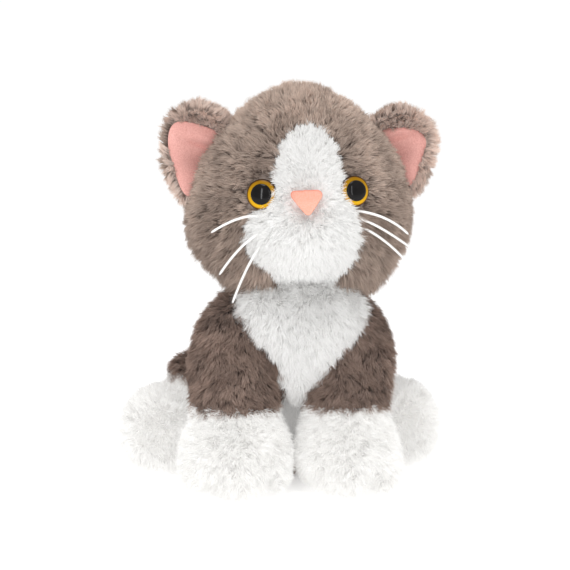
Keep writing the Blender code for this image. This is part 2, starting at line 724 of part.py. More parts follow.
def front_leg_body(name, side, inset, bottom, segments=30, step=9 * MM):
    """A leg with its paw: a round shoulder on the joint, a sleeve, and a broad flat-bottomed paw."""
    wide = LEFT_PAW_HALF_WIDTH if side > 0 else RIGHT_PAW_HALF_WIDTH
    half_width = smooth_through(
        (0.0, wide - 5 * MM), (6 * MM, wide - 1.5 * MM), (16 * MM, wide), (30 * MM, wide - 1.5 * MM),
        (CUFF_Z, 21.5 * MM), (54 * MM, 20 * MM), (SHOULDER_Z, SHOULDER_RADIUS),
    )
    half_depth = smooth_through(
        (0.0, 24 * MM), (6 * MM, 27.5 * MM), (16 * MM, 28 * MM), (30 * MM, 25 * MM),
        (CUFF_Z, 20.5 * MM), (54 * MM, 19.5 * MM), (SHOULDER_Z, SHOULDER_RADIUS),
    )
    centre_y = smooth_through(
        (0.0, -46 * MM), (20 * MM, -45 * MM), (CUFF_Z, -37 * MM), (54 * MM, -31 * MM),
        (SHOULDER_Z, SHOULDER_Y),
    )
    shoulder_x = SHOULDER_SHIFT + side * SHOULDER_SPREAD
    centre_x = smooth_through(
        (0.0, side * PAW_SPREAD), (CUFF_Z, side * (PAW_SPREAD - 1.5 * MM)), (SHOULDER_Z, shoulder_x)
    )
    top = SHOULDER_RADIUS - inset
    rings = []
    for z in levels_between(bottom, SHOULDER_Z, step):
        ring = []
        toe_fade = max(0.0, 1 - (z / TOE_TOP) ** 2)
        for angle in ring_angles(segments):
            offset = abs(math.remainder(angle + math.pi / 2, math.tau))
            toes = 0.5 + 0.5 * math.cos(math.tau * offset / TOE_SPACING)
            front = max(0.0, 1 - (offset / TOE_SWEEP) ** 4)
            bulge = TOE_DEPTH * toes * front * toe_fade
            x = centre_x(z) + (half_width(z) - inset + bulge) * math.cos(angle)
            y = centre_y(z) + (half_depth(z) - inset + bulge) * math.sin(angle)
            ring.append((x, y, z))
        rings.append(ring)
    for rise in SHOULDER_DOME:
        ring = []
        for angle in ring_angles(segments):
            x = shoulder_x + top * math.cos(rise) * math.cos(angle)
            y = SHOULDER_Y + top * math.cos(rise) * math.sin(angle)
            ring.append((x, y, SHOULDER_Z + top * math.sin(rise)))
        rings.append(ring)
    return loft(name, rings)


def build_front_leg(side):
    label = "left" if side > 0 else "right"
    outer = front_leg_body("outer", side, 0.0, 0.0)
    hollow = front_leg_body("hollow", side, SKIN, SKIN, 14, 12 * MM)
    stuffing = front_leg_body(f"{label}_front_leg_stuffing", side, SKIN + 2 * GAP, SKIN + GAP, 14, 12 * MM)
    cut(outer, hollow)
    paw_room = slab("paw_room", (-FAR, -FAR, -FAR), (FAR, FAR, CUFF_Z - GAP / 2))
    sleeve_room = slab("sleeve_room", (-FAR, -FAR, CUFF_Z + GAP / 2), (FAR, FAR, FAR))
    paw = keep_within(copy_of(outer, "paw"), paw_room)
    sleeve = keep_within(outer, sleeve_room)
    discard(hollow, paw_room, sleeve_room)
    named(paw, f"{label}_front_paw", WHITE_PILE)
    named(sleeve, f"{label}_front_sleeve", GREY_PILE)
    named(stuffing, stuffing.name, FIBRE)
    shoulder = Vector((SHOULDER_SHIFT + side * SHOULDER_SPREAD, SHOULDER_Y, SHOULDER_Z))
    for piece in (paw, sleeve, stuffing):
        piece.data.transform(Matrix.Translation(-shoulder))
        piece.location = shoulder


# ---------------------------------------------------------------- hind legs


def haunch_body(name, side, inset, segments=18, rings=10):
    data = bmesh.new()
    bmesh.ops.create_uvsphere(data, u_segments=segments, v_segments=rings, radius=1.0)
    for vert in data.verts:
        rise = HAUNCH_RISE if vert.co.z > 0 else HIP_Z
        x = HIP_X + 2 * MM + (HAUNCH_BULGE - inset) * vert.co.x
        y = HIP_Y + (HAUNCH_LENGTH - inset) * vert.co.y
        vert.co = (side * x, y, HIP_Z + (rise - inset) * vert.co.z)
    body = finish_mesh(name, data, None)
    wall = HIP_X + inset
    low, high = (wall, FAR) if side > 0 else (-FAR, -wall)
    outside = slab("outside", (low, -FAR, -FAR), (high, FAR, FAR))
    keep_within(body, outside)
    discard(outside)
    return body


def foot_body(name, side, inset, front, segments=18, step=6 * MM):
    """A round foot that stands behind its upright sole, flattened where it meets the floor."""
    radius = smooth_through(
        (SOLE_Y, SOLE_RADIUS + 1 * MM), (SOLE_Y + 4 * MM, 20 * MM), (2 * MM, FOOT_RADIUS),
        (14 * MM, 21 * MM), (26 * MM, 17 * MM), (FOOT_REAR, 9 * MM),
    )
    rings = []
    rear = FOOT_REAR - inset
    centre_z = FOOT_RADIUS + 0.5 * MM
    for y in levels_between(front, rear, step):
        ring = []
        for angle in ring_angles(segments):
            reach = max(radius(y) - inset, 3 * MM)
            bend = FOOT_TURN_IN * max(0.0, y / FOOT_REAR) ** 2
            x = side * (FOOT_X - bend) + reach * math.cos(angle)
            z = max(centre_z + reach * math.sin(angle), inset)
            ring.append((x, y, z))
        rings.append(ring)
    return loft(name, rings)


def sole_disc(name, side, radius, front, rear):
    data = bmesh.new()
    bmesh.ops.create_cone(
        data, cap_ends=True, segments=20, radius1=radius, radius2=radius, depth=rear - front
    )
    turn = Matrix.Rotation(math.pi / 2, 4, "X")
    place = Matrix.Translation((side * FOOT_X, (front + rear) / 2, FOOT_RADIUS + 0.5 * MM))
    bmesh.ops.transform(data, matrix=place @ turn, verts=data.verts)
    return finish_mesh(name, data, None)


def seam_room(side, gap, foot_side):
    """The half of space on the foot's side, or on the haunch's side, of the ankle seam."""
    room = slab("seam_room", (gap, -FAR, -FAR), (FAR, FAR, FAR))
    angle = ANKLE_ANGLE if foot_side else ANKLE_ANGLE + math.pi
    move(room, Matrix.Translation(ANKLE) @ Matrix.Rotation(angle, 4, "Z"))
    if side < 0:
        move(room, Matrix.Scale(-1, 4, Vector((1, 0, 0))))
    return room


def build_hind_leg(side):
    label = "left" if side > 0 else "right"
    outer = haunch_body("outer", side, 0.0)
    foot_outer = foot_body("foot_outer", side, 0.0, SOLE_Y)
    hollow = haunch_body("hollow", side, SKIN, 14, 8)
    foot_hollow = foot_body("foot_hollow", side, SKIN, SOLE_Y + SKIN, 14)
    stuffing = haunch_body(f"{label}_hind_leg_stuffing", side, SKIN + 2 * GAP, 14, 8)
    foot_core = foot_body("foot_core", side, SKIN + 2 * GAP, SOLE_Y + SKIN + GAP, 14)
    merge(outer, foot_outer)
    merge(hollow, foot_hollow)
    merge(stuffing, foot_core)
    cut(outer, hollow)
    opening = sole_disc("opening", side, SOLE_RADIUS, SOLE_Y - 5 * MM, SOLE_Y + SKIN + 1 * MM)
    cut(outer, opening)

    foot_room = seam_room(side, GAP / 2, True)
    haunch_room = seam_room(side, GAP / 2, False)
    foot = keep_within(copy_of(outer, "foot"), foot_room)
    haunch = keep_within(outer, haunch_room)
    sole = sole_disc(f"{label}_hind_sole", side, SOLE_RADIUS - GAP, SOLE_Y, SOLE_Y + SKIN)
    discard(foot_outer, hollow, foot_hollow, foot_core, opening, foot_room, haunch_room)
    named(foot, f"{label}_hind_foot", WHITE_PILE)
    named(haunch, f"{label}_haunch", GREY_PILE)
    named(sole, sole.name, SOLE_PILE)
    named(stuffing, stuffing.name, FIBRE)
    hip = Vector((side * HIP_X, HIP_Y, HIP_Z))
    for piece in (foot, haunch, sole, stuffing):
        piece.data.transform(Matrix.Translation(-hip))
        piece.location = hip


# ---------------------------------------------------------------- tail


def tail_body(name, inset, segments=14):
    """A tube that lies just over the floor and sweeps aside, with a round root on its joint."""
    rings = []
    root_radius = TAIL_RADIUS - inset
    for angle in (math.radians(a) for a in (-80, -52, -26)):
        rings.append(tail_ring(0.0, root_radius * math.sin(angle), root_radius * math.cos(angle), segments))
    steps = 6
    for k in range(steps + 1):
        t = k / steps
        radius = TAIL_RADIUS + (TAIL_TIP_RADIUS - TAIL_RADIUS) * t - inset
        rings.append(tail_ring(t, TAIL_LENGTH * t, radius, segments))
    tip = TAIL_TIP_RADIUS - inset
    for angle in (math.radians(a) for a in (28, 56, 80)):
        rings.append(tail_ring(1.0, TAIL_LENGTH + tip * math.sin(angle), tip * math.cos(angle), segments))
    return loft(name, rings)


def tail_ring(t, along, radius, segments):
    sweep = TAIL_SWEEP * t * t
    sink = TAIL_SINK * t
    centre = TAIL_ROOT + Vector((sweep, along, -sink))
    return [centre + Vector((radius * math.cos(a), 0, radius * math.sin(a))) for a in ring_angles(segments)]


def build_tail():
    skin = tail_body("tail_skin", 0.0)
    hollow = tail_body("hollow", TAIL_SKIN, 10)
    stuffing = tail_body("tail_stuffing", TAIL_SKIN + 2 * GAP, 10)
    mouth = slab("mouth", -TAIL_MOUTH, (TAIL_MOUTH.x, 0, TAIL_MOUTH.z))
    move(mouth, Matrix.Translation(TAIL_ROOT))
    cut(skin, hollow)
    cut(skin, mouth)
    discard(hollow, mouth)
    named(skin, "tail_skin", GREY_PILE)
    named(stuffing, "tail_stuffing", FIBRE)
    for piece in (skin, stuffing):
        piece.data.transform(Matrix.Translation(-TAIL_ROOT))
        piece.location = TAIL_ROOT


# ---------------------------------------------------------------- assembly


# The radius that a leg's top sweeps as it is raised, at each distance along the shoulder's axis, in mm
LIFT_PROFILE = [
    (0.0, 21.3), (6.0, 20.3), (10.0, 19.0), (13.0, 17.2), (16.0, 14.8), (18.5, 13.6), (21.0, 12.0),
]


def lift_room(side):
    """A barrel on the shoulder's axis: the space that a leg's top sweeps as it is raised."""
    right = [(radius * MM, x * MM) for x, radius in LIFT_PROFILE]
    left = [(radius, -x) for radius, x in reversed(right[1:])]
    end = right[-1][1]
    barrel = turned("lift_room", [(0, -end)] + left + right + [(0, end)], 24)
    hinge = Vector((SHOULDER_SHIFT + side * SHOULDER_SPREAD, SHOULDER_Y, SHOULDER_Z))
    return move(barrel, Matrix.Translation(hinge) @ Matrix.Rotation(math.pi / 2, 4, "Y"))


def limb_sockets():
    """The room that the front legs, at rest and raised, and the tail's round root need in the torso."""
    sockets = [front_leg_body("leg_room", side, -CLEARANCE, -5 * MM, 20, 12 * MM) for side in (1, -1)]
    sockets += [lift_room(side) for side in (1, -1)]
    sockets.append(ball("tail_room", TAIL_ROOT, TAIL_RADIUS + CLEARANCE, 16, 10))
    return sockets


def build():
    clear_scene()
    sockets = limb_sockets()
    build_torso(sockets)
    discard(*sockets)
    build_neck()
    build_head()
    for side in (1, -1):
        build_front_leg(side)
        build_hind_leg(side)
    build_tail()


build()
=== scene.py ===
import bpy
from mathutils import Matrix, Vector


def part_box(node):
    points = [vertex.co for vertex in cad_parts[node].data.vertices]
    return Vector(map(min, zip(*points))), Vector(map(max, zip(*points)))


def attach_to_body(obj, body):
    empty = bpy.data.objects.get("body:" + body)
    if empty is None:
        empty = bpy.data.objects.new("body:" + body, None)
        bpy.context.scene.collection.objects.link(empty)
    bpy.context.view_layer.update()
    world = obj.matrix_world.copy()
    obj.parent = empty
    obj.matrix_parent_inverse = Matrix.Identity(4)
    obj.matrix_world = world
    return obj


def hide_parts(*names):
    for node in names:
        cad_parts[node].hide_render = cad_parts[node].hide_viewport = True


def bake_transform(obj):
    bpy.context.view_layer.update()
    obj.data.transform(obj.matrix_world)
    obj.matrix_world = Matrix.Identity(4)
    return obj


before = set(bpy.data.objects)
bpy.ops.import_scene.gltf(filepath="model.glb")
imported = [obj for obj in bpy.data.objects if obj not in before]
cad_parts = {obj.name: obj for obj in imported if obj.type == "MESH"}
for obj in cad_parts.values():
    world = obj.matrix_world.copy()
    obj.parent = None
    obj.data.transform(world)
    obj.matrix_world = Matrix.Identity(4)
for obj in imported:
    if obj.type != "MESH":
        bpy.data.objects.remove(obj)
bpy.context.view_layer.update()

import math

import bmesh
import bpy
import numpy as np
from mathutils import Matrix, Vector
from mathutils.bvhtree import BVHTree

# A sitting plush kitten. Each stuffed part is a cloth backing, shaped from its CAD solids, under pile that
# is grown as tapering mesh hairs. The cat faces -Y, its left is +X, and every length is in metres.
MM = 0.001

# The head's pose on the neck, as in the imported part
NECK = Vector((10.0, 2.0, 104.8)) * MM
HEAD_PLACE = (
    Matrix.Translation(NECK)
    @ Matrix.Rotation(math.radians(-1.5), 4, "Y")
    @ Matrix.Rotation(math.radians(-2.0), 4, "Z")
)
CUFF_Z = 41.0 * MM
SHOULDER = {"left": Vector((28.5, -24.0, 70.0)) * MM, "right": Vector((-23.5, -24.0, 70.0)) * MM}
SIDES = {"left": 1, "right": -1}

# Pile
BLADES_PER_TUFT = 24
BLADE_WIDTH = 0.36 * MM
TUFT_SPACING = 2.3 * MM
ROOT_DEPTH = 0.4 * MM  # a hair starts this far under the cloth
LEAN_SPREAD = 0.16  # how much the lean varies between tufts, in radians
TONE_SPREAD = 0.13  # how much the tone varies within a tuft
FLOOR_GAP = 0.2 * MM  # the lowest hairs lie just over the floor

# -------- small helpers

def unit(vectors):
    lengths = np.linalg.norm(vectors, axis=-1, keepdims=True)
    return vectors / np.maximum(lengths, 1e-12)

def smoothstep(low, high, value):
    t = np.clip((value - low) / (high - low), 0, 1)
    return t * t * (3 - 2 * t)

def bell(value, centre, width):
    return np.exp(-(((value - centre) / width) ** 2))

def curve_through(*stations):
    """A curve through (place, value) stations in mm. It takes and gives metres."""
    places, values = np.array(stations).T * MM
    return lambda place: np.interp(place, places, values)

def ripple(points, wavelength, seed, waves=9):
    """Smooth noise in about -1..1, from sine waves that run in many directions."""
    rng = np.random.default_rng(seed)
    directions = unit(rng.normal(size=(waves, 3)))
    scales = rng.uniform(0.7, 1.5, waves)
    phases = rng.uniform(0, math.tau, waves)
    total = np.zeros(len(points))
    for direction, scale, phase in zip(directions, scales, phases):
        total += np.sin(points @ direction * (math.tau * scale / wavelength) + phase)
    return total / math.sqrt(waves / 2) / 1.6

def link(name, mesh):
    piece = bpy.data.objects.new(name, mesh)
    bpy.context.scene.collection.objects.link(piece)
    return piece

def to_head(points):
    """Points in the row frame, seen from the neck with the head's turn taken out."""
    inverse = np.array(HEAD_PLACE.inverted())
    return points @ inverse[:3, :3].T + inverse[:3, 3]

# -------- forms

SPOTS_PER_CELL = 6
CELL_PRIMES = np.array([73856093, 19349663, 83492791])  # mix a cell's three indices into one key

class Form:
    """A closed smooth surface under the pile, made from CAD nodes.

    The nodes are remeshed into one skin, smoothed, moved by shape, and drawn in by inset to leave room
    for the pile.
    """

    def __init__(self, name, nodes, voxel=2.0 * MM, passes=12, inset=3.0 * MM, shape=None):
        source = bmesh.new()
        for node in nodes:
            source.from_mesh(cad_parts[node].data)
        bmesh.ops.remove_doubles(source, verts=source.verts, dist=1e-6)
        mesh = bpy.data.meshes.new(name)
        source.to_mesh(mesh)
        source.free()
        piece = link(name, mesh)
        remesh = piece.modifiers.new("remesh", "REMESH")
        remesh.mode = "VOXEL"
        remesh.voxel_size = voxel
        relax = piece.modifiers.new("relax", "SMOOTH")
        relax.factor = 0.5
        relax.iterations = passes
        shaped = bpy.data.meshes.new_from_object(
            piece.evaluated_get(bpy.context.evaluated_depsgraph_get())
        )
        bpy.data.objects.remove(piece)
        self.mesh = keep_largest_shell(shaped)
        self.mesh.name = name
        self.read()
        if shape:
            self.place(shape(self.points, self.normals))
        self.place(self.points - self.normals * inset)
        self.mesh.shade_smooth()

    def read(self):
        self.mesh.calc_loop_triangles()
        self.points = np.empty((len(self.mesh.vertices), 3))
        self.mesh.vertices.foreach_get("co", self.points.ravel())
        self.normals = np.empty((len(self.mesh.vertices), 3))
        self.mesh.vertices.foreach_get("normal", self.normals.ravel())
        self.triangles = np.empty((len(self.mesh.loop_triangles), 3), dtype=int)
        self.mesh.loop_triangles.foreach_get("vertices", self.triangles.ravel())

    def place(self, points):
        self.mesh.vertices.foreach_set("co", points.astype(np.float32).ravel())
        self.mesh.update()
        self.read()

    def tree(self):
        return BVHTree.FromPolygons(self.points.tolist(), self.triangles.tolist())

    def tufts(self, spacing, seed):
        """Evenly scattered points on the surface, with their normals: one for each cell of a fine grid."""
        rng = np.random.default_rng(seed)
        a, b, c = (self.points[self.triangles[:, k]] for k in range(3))
        areas = np.linalg.norm(np.cross(b - a, c - a), axis=1) / 2
        count = int(areas.sum() / spacing**2 * SPOTS_PER_CELL)
        chosen = rng.choice(len(areas), count, p=areas / areas.sum())
        u, v = rng.random((2, count))
        folded = u + v > 1
        u[folded], v[folded] = 1 - u[folded], 1 - v[folded]
        shares = np.stack((1 - u - v, u, v), axis=1)[:, :, None]
        spots = (self.points[self.triangles[chosen]] * shares).sum(axis=1)
        normals = unit((self.normals[self.triangles[chosen]] * shares).sum(axis=1))
        cells = np.floor(spots / spacing + rng.random(3)).astype(np.int64)
        keys = np.bitwise_xor.reduce(cells * CELL_PRIMES, axis=1)
        _, first = np.unique(keys, return_index=True)
        return spots[first], normals[first]

def form_of(mesh):
    """A form from a mesh that is already shaped."""
    form = Form.__new__(Form)
    form.mesh = mesh
    form.read()
    return form

def loft(name, rings):
    """A closed mesh over rings with the same number of points, closed by a fan at each end."""
    data = bmesh.new()
    rows = [[data.verts.new(point) for point in ring] for ring in rings]
    count = len(rows[0])
    for low, high in zip(rows, rows[1:]):
        for i in range(count):
            data.faces.new((low[i], low[(i + 1) % count], high[(i + 1) % count], high[i]))
    for row, is_last in ((rows[0], False), (rows[-1], True)):
        middle = data.verts.new(sum((v.co for v in row), Vector()) / count)
        for i in range(count):
            corners = (row[i], row[(i + 1) % count], middle)
            data.faces.new(corners if is_last else corners[::-1])
    bmesh.ops.recalc_face_normals(data, faces=data.faces)
    mesh = bpy.data.meshes.new(name)
    data.to_mesh(mesh)
    data.free()
    mesh.shade_smooth()
    return mesh

def keep_largest_shell(mesh):
    """Drop the inner skins that a remesh leaves inside a hollow form."""
    data = bmesh.new()
    data.from_mesh(mesh)
    remaining = set(data.verts)
    shells = []
    while remaining:
        seed = remaining.pop()
        shell, edge = {seed}, [seed]
        while edge:
            vert = edge.pop()
            for link_edge in vert.link_edges:
                other = link_edge.other_vert(vert)
                if other not in shell:
                    shell.add(other)
                    edge.append(other)
        remaining -= shell
        shells.append(shell)
    largest = max(shells, key=len)
    bmesh.ops.delete(data, geom=[v for v in data.verts if v not in largest], context="VERTS")
    data.to_mesh(mesh)
    data.free()
    return mesh

# -------- materials

def new_material(name, roughness, sheen=0.0, specular=0.3):
    """A material and its shader, whose socket values are all plain numbers."""
    material = bpy.data.materials.new(name)
    material.use_nodes = True
    shader = material.node_tree.nodes["Principled BSDF"]
    shader.inputs["Roughness"].default_value = roughness
    shader.inputs["Sheen Weight"].default_value = sheen
    shader.inputs["Specular IOR Level"].default_value = specular
    return material, shader

def ramp(tree, stops, source):
    """The colour at source along a ramp of (place, colour) stops."""
    node = tree.nodes.new("ShaderNodeValToRGB")
    elements = node.color_ramp.elements
    while len(elements) < len(stops):
        elements.new(0.5)
    for element, (place, colour) in zip(elements, stops):
        element.position = place
        element.color = (*colour, 1)
    tree.links.new(source, node.inputs["Fac"])
    return node.outputs["Color"]

def mixed(tree, kind, factor, first, second):
    """Two colours put together by the blend kind."""
    node = tree.nodes.new("ShaderNodeMix")
    node.data_type = "RGBA"
    node.blend_type = kind
    share, colour_a, colour_b = (node.inputs[k] for k in (0, 6, 7))
    share.default_value = factor
    tree.links.new(first, colour_a)
    tree.links.new(second, colour_b)
    return node.outputs[2]

def point_value(tree, name):
    """The value that a mesh's points carry under name."""
    node = tree.nodes.new("ShaderNodeAttribute")
    node.attribute_name = name
    return node.outputs["Fac"]

def noise(tree, scale):
    coordinates = tree.nodes.new("ShaderNodeTexCoord")
    node = tree.nodes.new("ShaderNodeTexNoise")
    node.inputs["Scale"].default_value = scale
    node.inputs["Detail"].default_value = 2.0
    tree.links.new(coordinates.outputs["Object"], node.inputs["Vector"])
    return node.outputs["Fac"]

PILE_LAYOUT = "OFBake"
WHITE = (1.0, 1.0, 1.0)

def pile_material(name, root, tip, dark, sheen, painted_glow=0.0):
    """Pile whose colour runs from root to tip along each hair, the root in painted shade, and from dark to
    full between hairs.
    """
    material, shader = new_material(name, 0.9, sheen, 0.15)
    shader.inputs["Sheen Roughness"].default_value = 0.6
    # painted_glow makes the pile glow as painted light, though it is no lamp
    shader.inputs["Emission Color"].default_value = (*WHITE, 1)
    shader.inputs["Emission Strength"].default_value = painted_glow
    tree = material.node_tree
    layout = tree.nodes.new("ShaderNodeUVMap")
    layout.uv_map = PILE_LAYOUT
    split = tree.nodes.new("ShaderNodeSeparateXYZ")
    tree.links.new(layout.outputs["UV"], split.inputs["Vector"])
    # Each hair darkens towards its root: painted shade of the pile's depth
    along = ramp(tree, [(0.0, root), (0.75, tip)], split.outputs["Y"])
    tone = ramp(tree, [(0.0, dark), (1.0, WHITE)], split.outputs["X"])
    tree.links.new(mixed(tree, "MULTIPLY", 1.0, along, tone), shader.inputs["Base Color"])
    return material

def cloth_material(name, low, high, scale, bump=0.3, roughness=0.95):
    """Knitted, flocked or twisted cloth with a fine grain in its colour and its relief."""
    material, shader = new_material(name, roughness, 0.1, 0.1)
    tree = material.node_tree
    grain = noise(tree, scale)
    tree.links.new(ramp(tree, [(0.35, low), (0.65, high)], grain), shader.inputs["Base Color"])
    relief = tree.nodes.new("ShaderNodeBump")
    relief.inputs["Strength"].default_value = bump
    relief.inputs["Distance"].default_value = 0.2 * MM
    tree.links.new(grain, relief.inputs["Height"])
    tree.links.new(relief.outputs["Normal"], shader.inputs["Normal"])
    return material

GREY_PILE = pile_material(
    "grey_pile", root=(0.21, 0.158, 0.132), tip=(0.74, 0.595, 0.505), dark=(0.52, 0.50, 0.49), sheen=0.12,
)
# A lighter copy of the grey pile that also glows: painted light on the ears' rims
EAR_LIT_PILE = pile_material(
    "ear_lit_pile", root=(0.50, 0.405, 0.355), tip=(0.92, 0.765, 0.675), dark=(0.72, 0.70, 0.69), sheen=0.12,
    painted_glow=0.02,
)
BODY_PILE = pile_material(
    "body_pile", root=(0.10, 0.067, 0.054), tip=(0.48, 0.35, 0.288), dark=(0.48, 0.46, 0.45), sheen=0.1,
)
# The white pile glows a little: painted light that lifts the shade between its hairs
WHITE_PILE = pile_material(
    "white_pile", root=(0.91, 0.905, 0.895), tip=(0.95, 0.947, 0.94), dark=(0.97, 0.97, 0.97), sheen=0.0,
    painted_glow=0.03,
)
# A copy of the white pile that glows more: painted light on the paws and feet
PAW_LIT_PILE = pile_material(
    "paw_lit_pile", root=(0.91, 0.905, 0.895), tip=(0.945, 0.94, 0.93), dark=(0.97, 0.97, 0.97), sheen=0.0,
    painted_glow=0.07,
)
KNIT_SCALE = 900.0
GREY_BACKING = cloth_material("grey_backing", (0.15, 0.112, 0.094), (0.21, 0.158, 0.132), KNIT_SCALE)
HEAD_BACKING = cloth_material("head_backing", (0.27, 0.218, 0.19), (0.35, 0.285, 0.25), KNIT_SCALE)
EAR_BACKING = cloth_material("ear_backing", (0.42, 0.345, 0.305), (0.52, 0.43, 0.38), KNIT_SCALE)
WHITE_BACKING = cloth_material("white_backing", (0.90, 0.89, 0.88), (0.95, 0.945, 0.94), KNIT_SCALE)
PINK_VELOUR = cloth_material("pink_velour", (0.77, 0.365, 0.32), (0.90, 0.49, 0.44), 1800.0, 0.5)
PINK_VELOUR.node_tree.nodes["Principled BSDF"].inputs["Sheen Weight"].default_value = 0.5

# -------- pile

def tangent_frame(normals):
    helper = np.where(np.abs(normals[:, 2:3]) < 0.9, [[0.0, 0.0, 1.0]], [[1.0, 0.0, 0.0]])
    first = unit(np.cross(normals, helper))
    return first, np.cross(normals, first)

def grow_pile(name, spots, normals, comb, lay, length, tone, radius, seed, width, clump, wild):
    """Tufts of tapering hairs. A tuft leans along comb by the angle lay, and clump draws its tips together.

    The hairs stray from their tuft's heading by wild. Each hair is a quad from root to middle and a
    triangle from middle to tip.
    """
    rng = np.random.default_rng(seed)
    count = len(spots)
    spread = (count, BLADES_PER_TUFT)
    first, second = tangent_frame(normals)
    along_skin = unit(comb - normals * (comb * normals).sum(axis=1, keepdims=True))
    lean = lay + rng.normal(0, LEAN_SPREAD, count)
    swing = rng.normal(0, wild * 1.5, (count, 2)) * 0.6
    heading = normals * np.cos(lean)[:, None] + along_skin * np.sin(lean)[:, None]
    heading = unit(heading + first * swing[:, :1] + second * swing[:, 1:])

    turn = rng.uniform(0, math.tau, spread)
    away = np.sqrt(rng.random(spread)) * radius
    offset = first[:, None] * np.cos(turn)[..., None] + second[:, None] * np.sin(turn)[..., None]
    offset *= away[..., None]
    root = spots[:, None] + offset - normals[:, None] * ROOT_DEPTH
    stray = rng.normal(0, wild, (*spread, 3)) * rng.random((*spread, 1))
    direction = unit(heading[:, None] + stray + offset / radius * 0.18)
    reach = (length * rng.uniform(0.85, 1.12, count))[:, None]
    reach = (reach * rng.uniform(0.72, 1.05, spread) * (1 - 0.18 * away / radius))[..., None]
    rise = unit(normals[:, None] * 0.55 + direction * 0.45)
    middle = root + rise * (reach * 0.5) - offset * clump * 0.35
    tip = middle + direction * (reach * 0.55) - offset * clump * 0.5
    tip = tip + np.array([0.0, 0.0, -0.06]) * reach

    flat = np.cross(direction, normals[:, None])
    flat = unit(flat + rng.normal(0, 0.45, (*spread, 3)))
    flat = unit(flat - direction * (flat * direction).sum(axis=-1, keepdims=True))
    facing = (np.cross(flat, direction) * normals[:, None]).sum(axis=-1, keepdims=True)
    flat = np.where(facing < 0, -flat, flat)
    half = flat * (width / 2) * rng.uniform(0.75, 1.25, (*spread, 1))
    corners = np.stack((root - half * 0.8, root + half * 0.8, middle + half, middle - half, tip), axis=2)
    corners[..., 2] = np.maximum(corners[..., 2], FLOOR_GAP)
    shade = np.clip(tone[:, None] + rng.normal(0, TONE_SPREAD, spread), 0.03, 0.97)
    return hair_piece(name, corners.reshape(-1, 5, 3), shade.ravel())

def hair_piece(name, corners, shade):
    """One mesh of hairs, five corners each, whose layout holds each hair's tone and the way along it."""
    count = len(corners)
    mesh = bpy.data.meshes.new(name)
    mesh.vertices.add(count * 5)
    mesh.vertices.foreach_set("co", corners.astype(np.float32).ravel())
    base = (np.arange(count) * 5)[:, None]
    loops = (base + np.array([[0, 1, 2, 3, 3, 2, 4]])).ravel()
    mesh.loops.add(len(loops))
    mesh.loops.foreach_set("vertex_index", loops.astype(np.int32))
    mesh.polygons.add(count * 2)
    starts = (np.arange(count) * 7)[:, None] + np.array([[0, 4]])
    mesh.polygons.foreach_set("loop_start", starts.astype(np.int32).ravel())
    layout = mesh.uv_layers.new(name=PILE_LAYOUT)
    side = np.array([-1, 1, 1, -1, -1, 1, 0]) * 0.02  # keeps each hair's patch of the layout from being flat
    height = np.array([0.0, 0.0, 0.5, 0.5, 0.5, 0.5, 1.0])
    across = shade[:, None] + side
    places = np.stack((across, np.broadcast_to(height, across.shape)), axis=-1)
    layout.data.foreach_set("uv", places.astype(np.float32).ravel())
    mesh.update(calc_edges=True)
    mesh.shade_smooth()
    return link(name, mesh)

def cover(name, form, region, material, comb, lay, length, seed, spacing=TUFT_SPACING, tone=None, keep=None,
          width=BLADE_WIDTH, clump=0.75, wild=0.22):
    """Pile over the part of a form where region is above zero. Returns the piece."""
    spots, normals = form.tufts(spacing, seed)
    inside = region(spots, normals) > 0
    if keep is not None:
        inside &= keep(spots)
    spots, normals = spots[inside], normals[inside]
    lengths = length(spots) if callable(length) else length
    tones = 0.55 + 0.22 * ripple(spots, 26 * MM, seed + 1) + 0.2 * ripple(spots, 7 * MM, seed + 2)
    if tone is not None:
        tones = tones + tone(spots)
    wander = np.stack([ripple(spots, 16 * MM, seed + k) for k in (3, 4, 5)], axis=1)
    combs = unit(comb(spots)) + 0.45 * wander
    piece = grow_pile(
        name, spots, normals, combs, lay, lengths, tones, spacing * 0.85, seed + 6, width, clump, wild,
    )
    piece.data.materials.append(material)
    return piece

def follow(piece, body):
    if isinstance(body, str):
        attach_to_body(piece, body)
    else:
        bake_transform(piece)

def backing(form, name, body, nodes, materials, white=None):
    """The cloth body of a stuffed part, which stands for its CAD nodes; white where white is above 0."""
    piece = link(name, form.mesh)
    for material in materials:
        piece.data.materials.append(material)
    if white is not None:
        centres = np.empty((len(piece.data.polygons), 3))
        piece.data.polygons.foreach_get("center", centres.ravel())
        normals = np.empty((len(piece.data.polygons), 3))
        piece.data.polygons.foreach_get("normal", normals.ravel())
        indices = (white(centres, normals) > 0).astype(np.int32)
        piece.data.polygons.foreach_set("material_index", indices)
    follow(piece, body)
    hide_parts(*nodes)

def attach(piece, body):
    follow(piece, body)

def down(spots):
    return np.tile([0.0, -0.1, -1.0], (len(spots), 1))

# -------- head

# The white face, by height over the neck point: its half width, and how far its middle is off centre
FACE_HALF_WIDTH = curve_through(
    (-16, 12), (0, 14), (5, 17.5), (12, 24), (22, 27), (30, 25), (38, 19.5), (46, 16), (56, 14.5),
    (64, 12.5), (69, 9), (72.5, 4),
)
FACE_MIDDLE = curve_through((5, 0), (14, -1.8), (22, -3.6), (32, -2.6), (46, 0.2), (58, 1.2))
FACE_TOP = 72.5 * MM
FACE_REAR = -8 * MM
COMB_CENTRE = np.array([0.0, -62.0, 42.0]) * MM  # the head's pile lies away from the nose
SOCKET_RADIUS = 24 * MM  # no pile grows where the head rests on the neck
JOWLS = np.array([[-24.0, -26.0, 0.0], [26.0, -26.0, 0.0]]) * MM
JOWL_SPREAD = 15 * MM

def face_region(spots, normals):
    x, y, z = to_head(spots).T
    inside = np.minimum(FACE_HALF_WIDTH(z) - np.abs(x - FACE_MIDDLE(z)), FACE_TOP - z)
    return np.minimum(inside, FACE_REAR - y)

def head_comb(spots):
    return unit(to_head(spots) - COMB_CENTRE) + np.array([0.0, 0.25, -0.45])

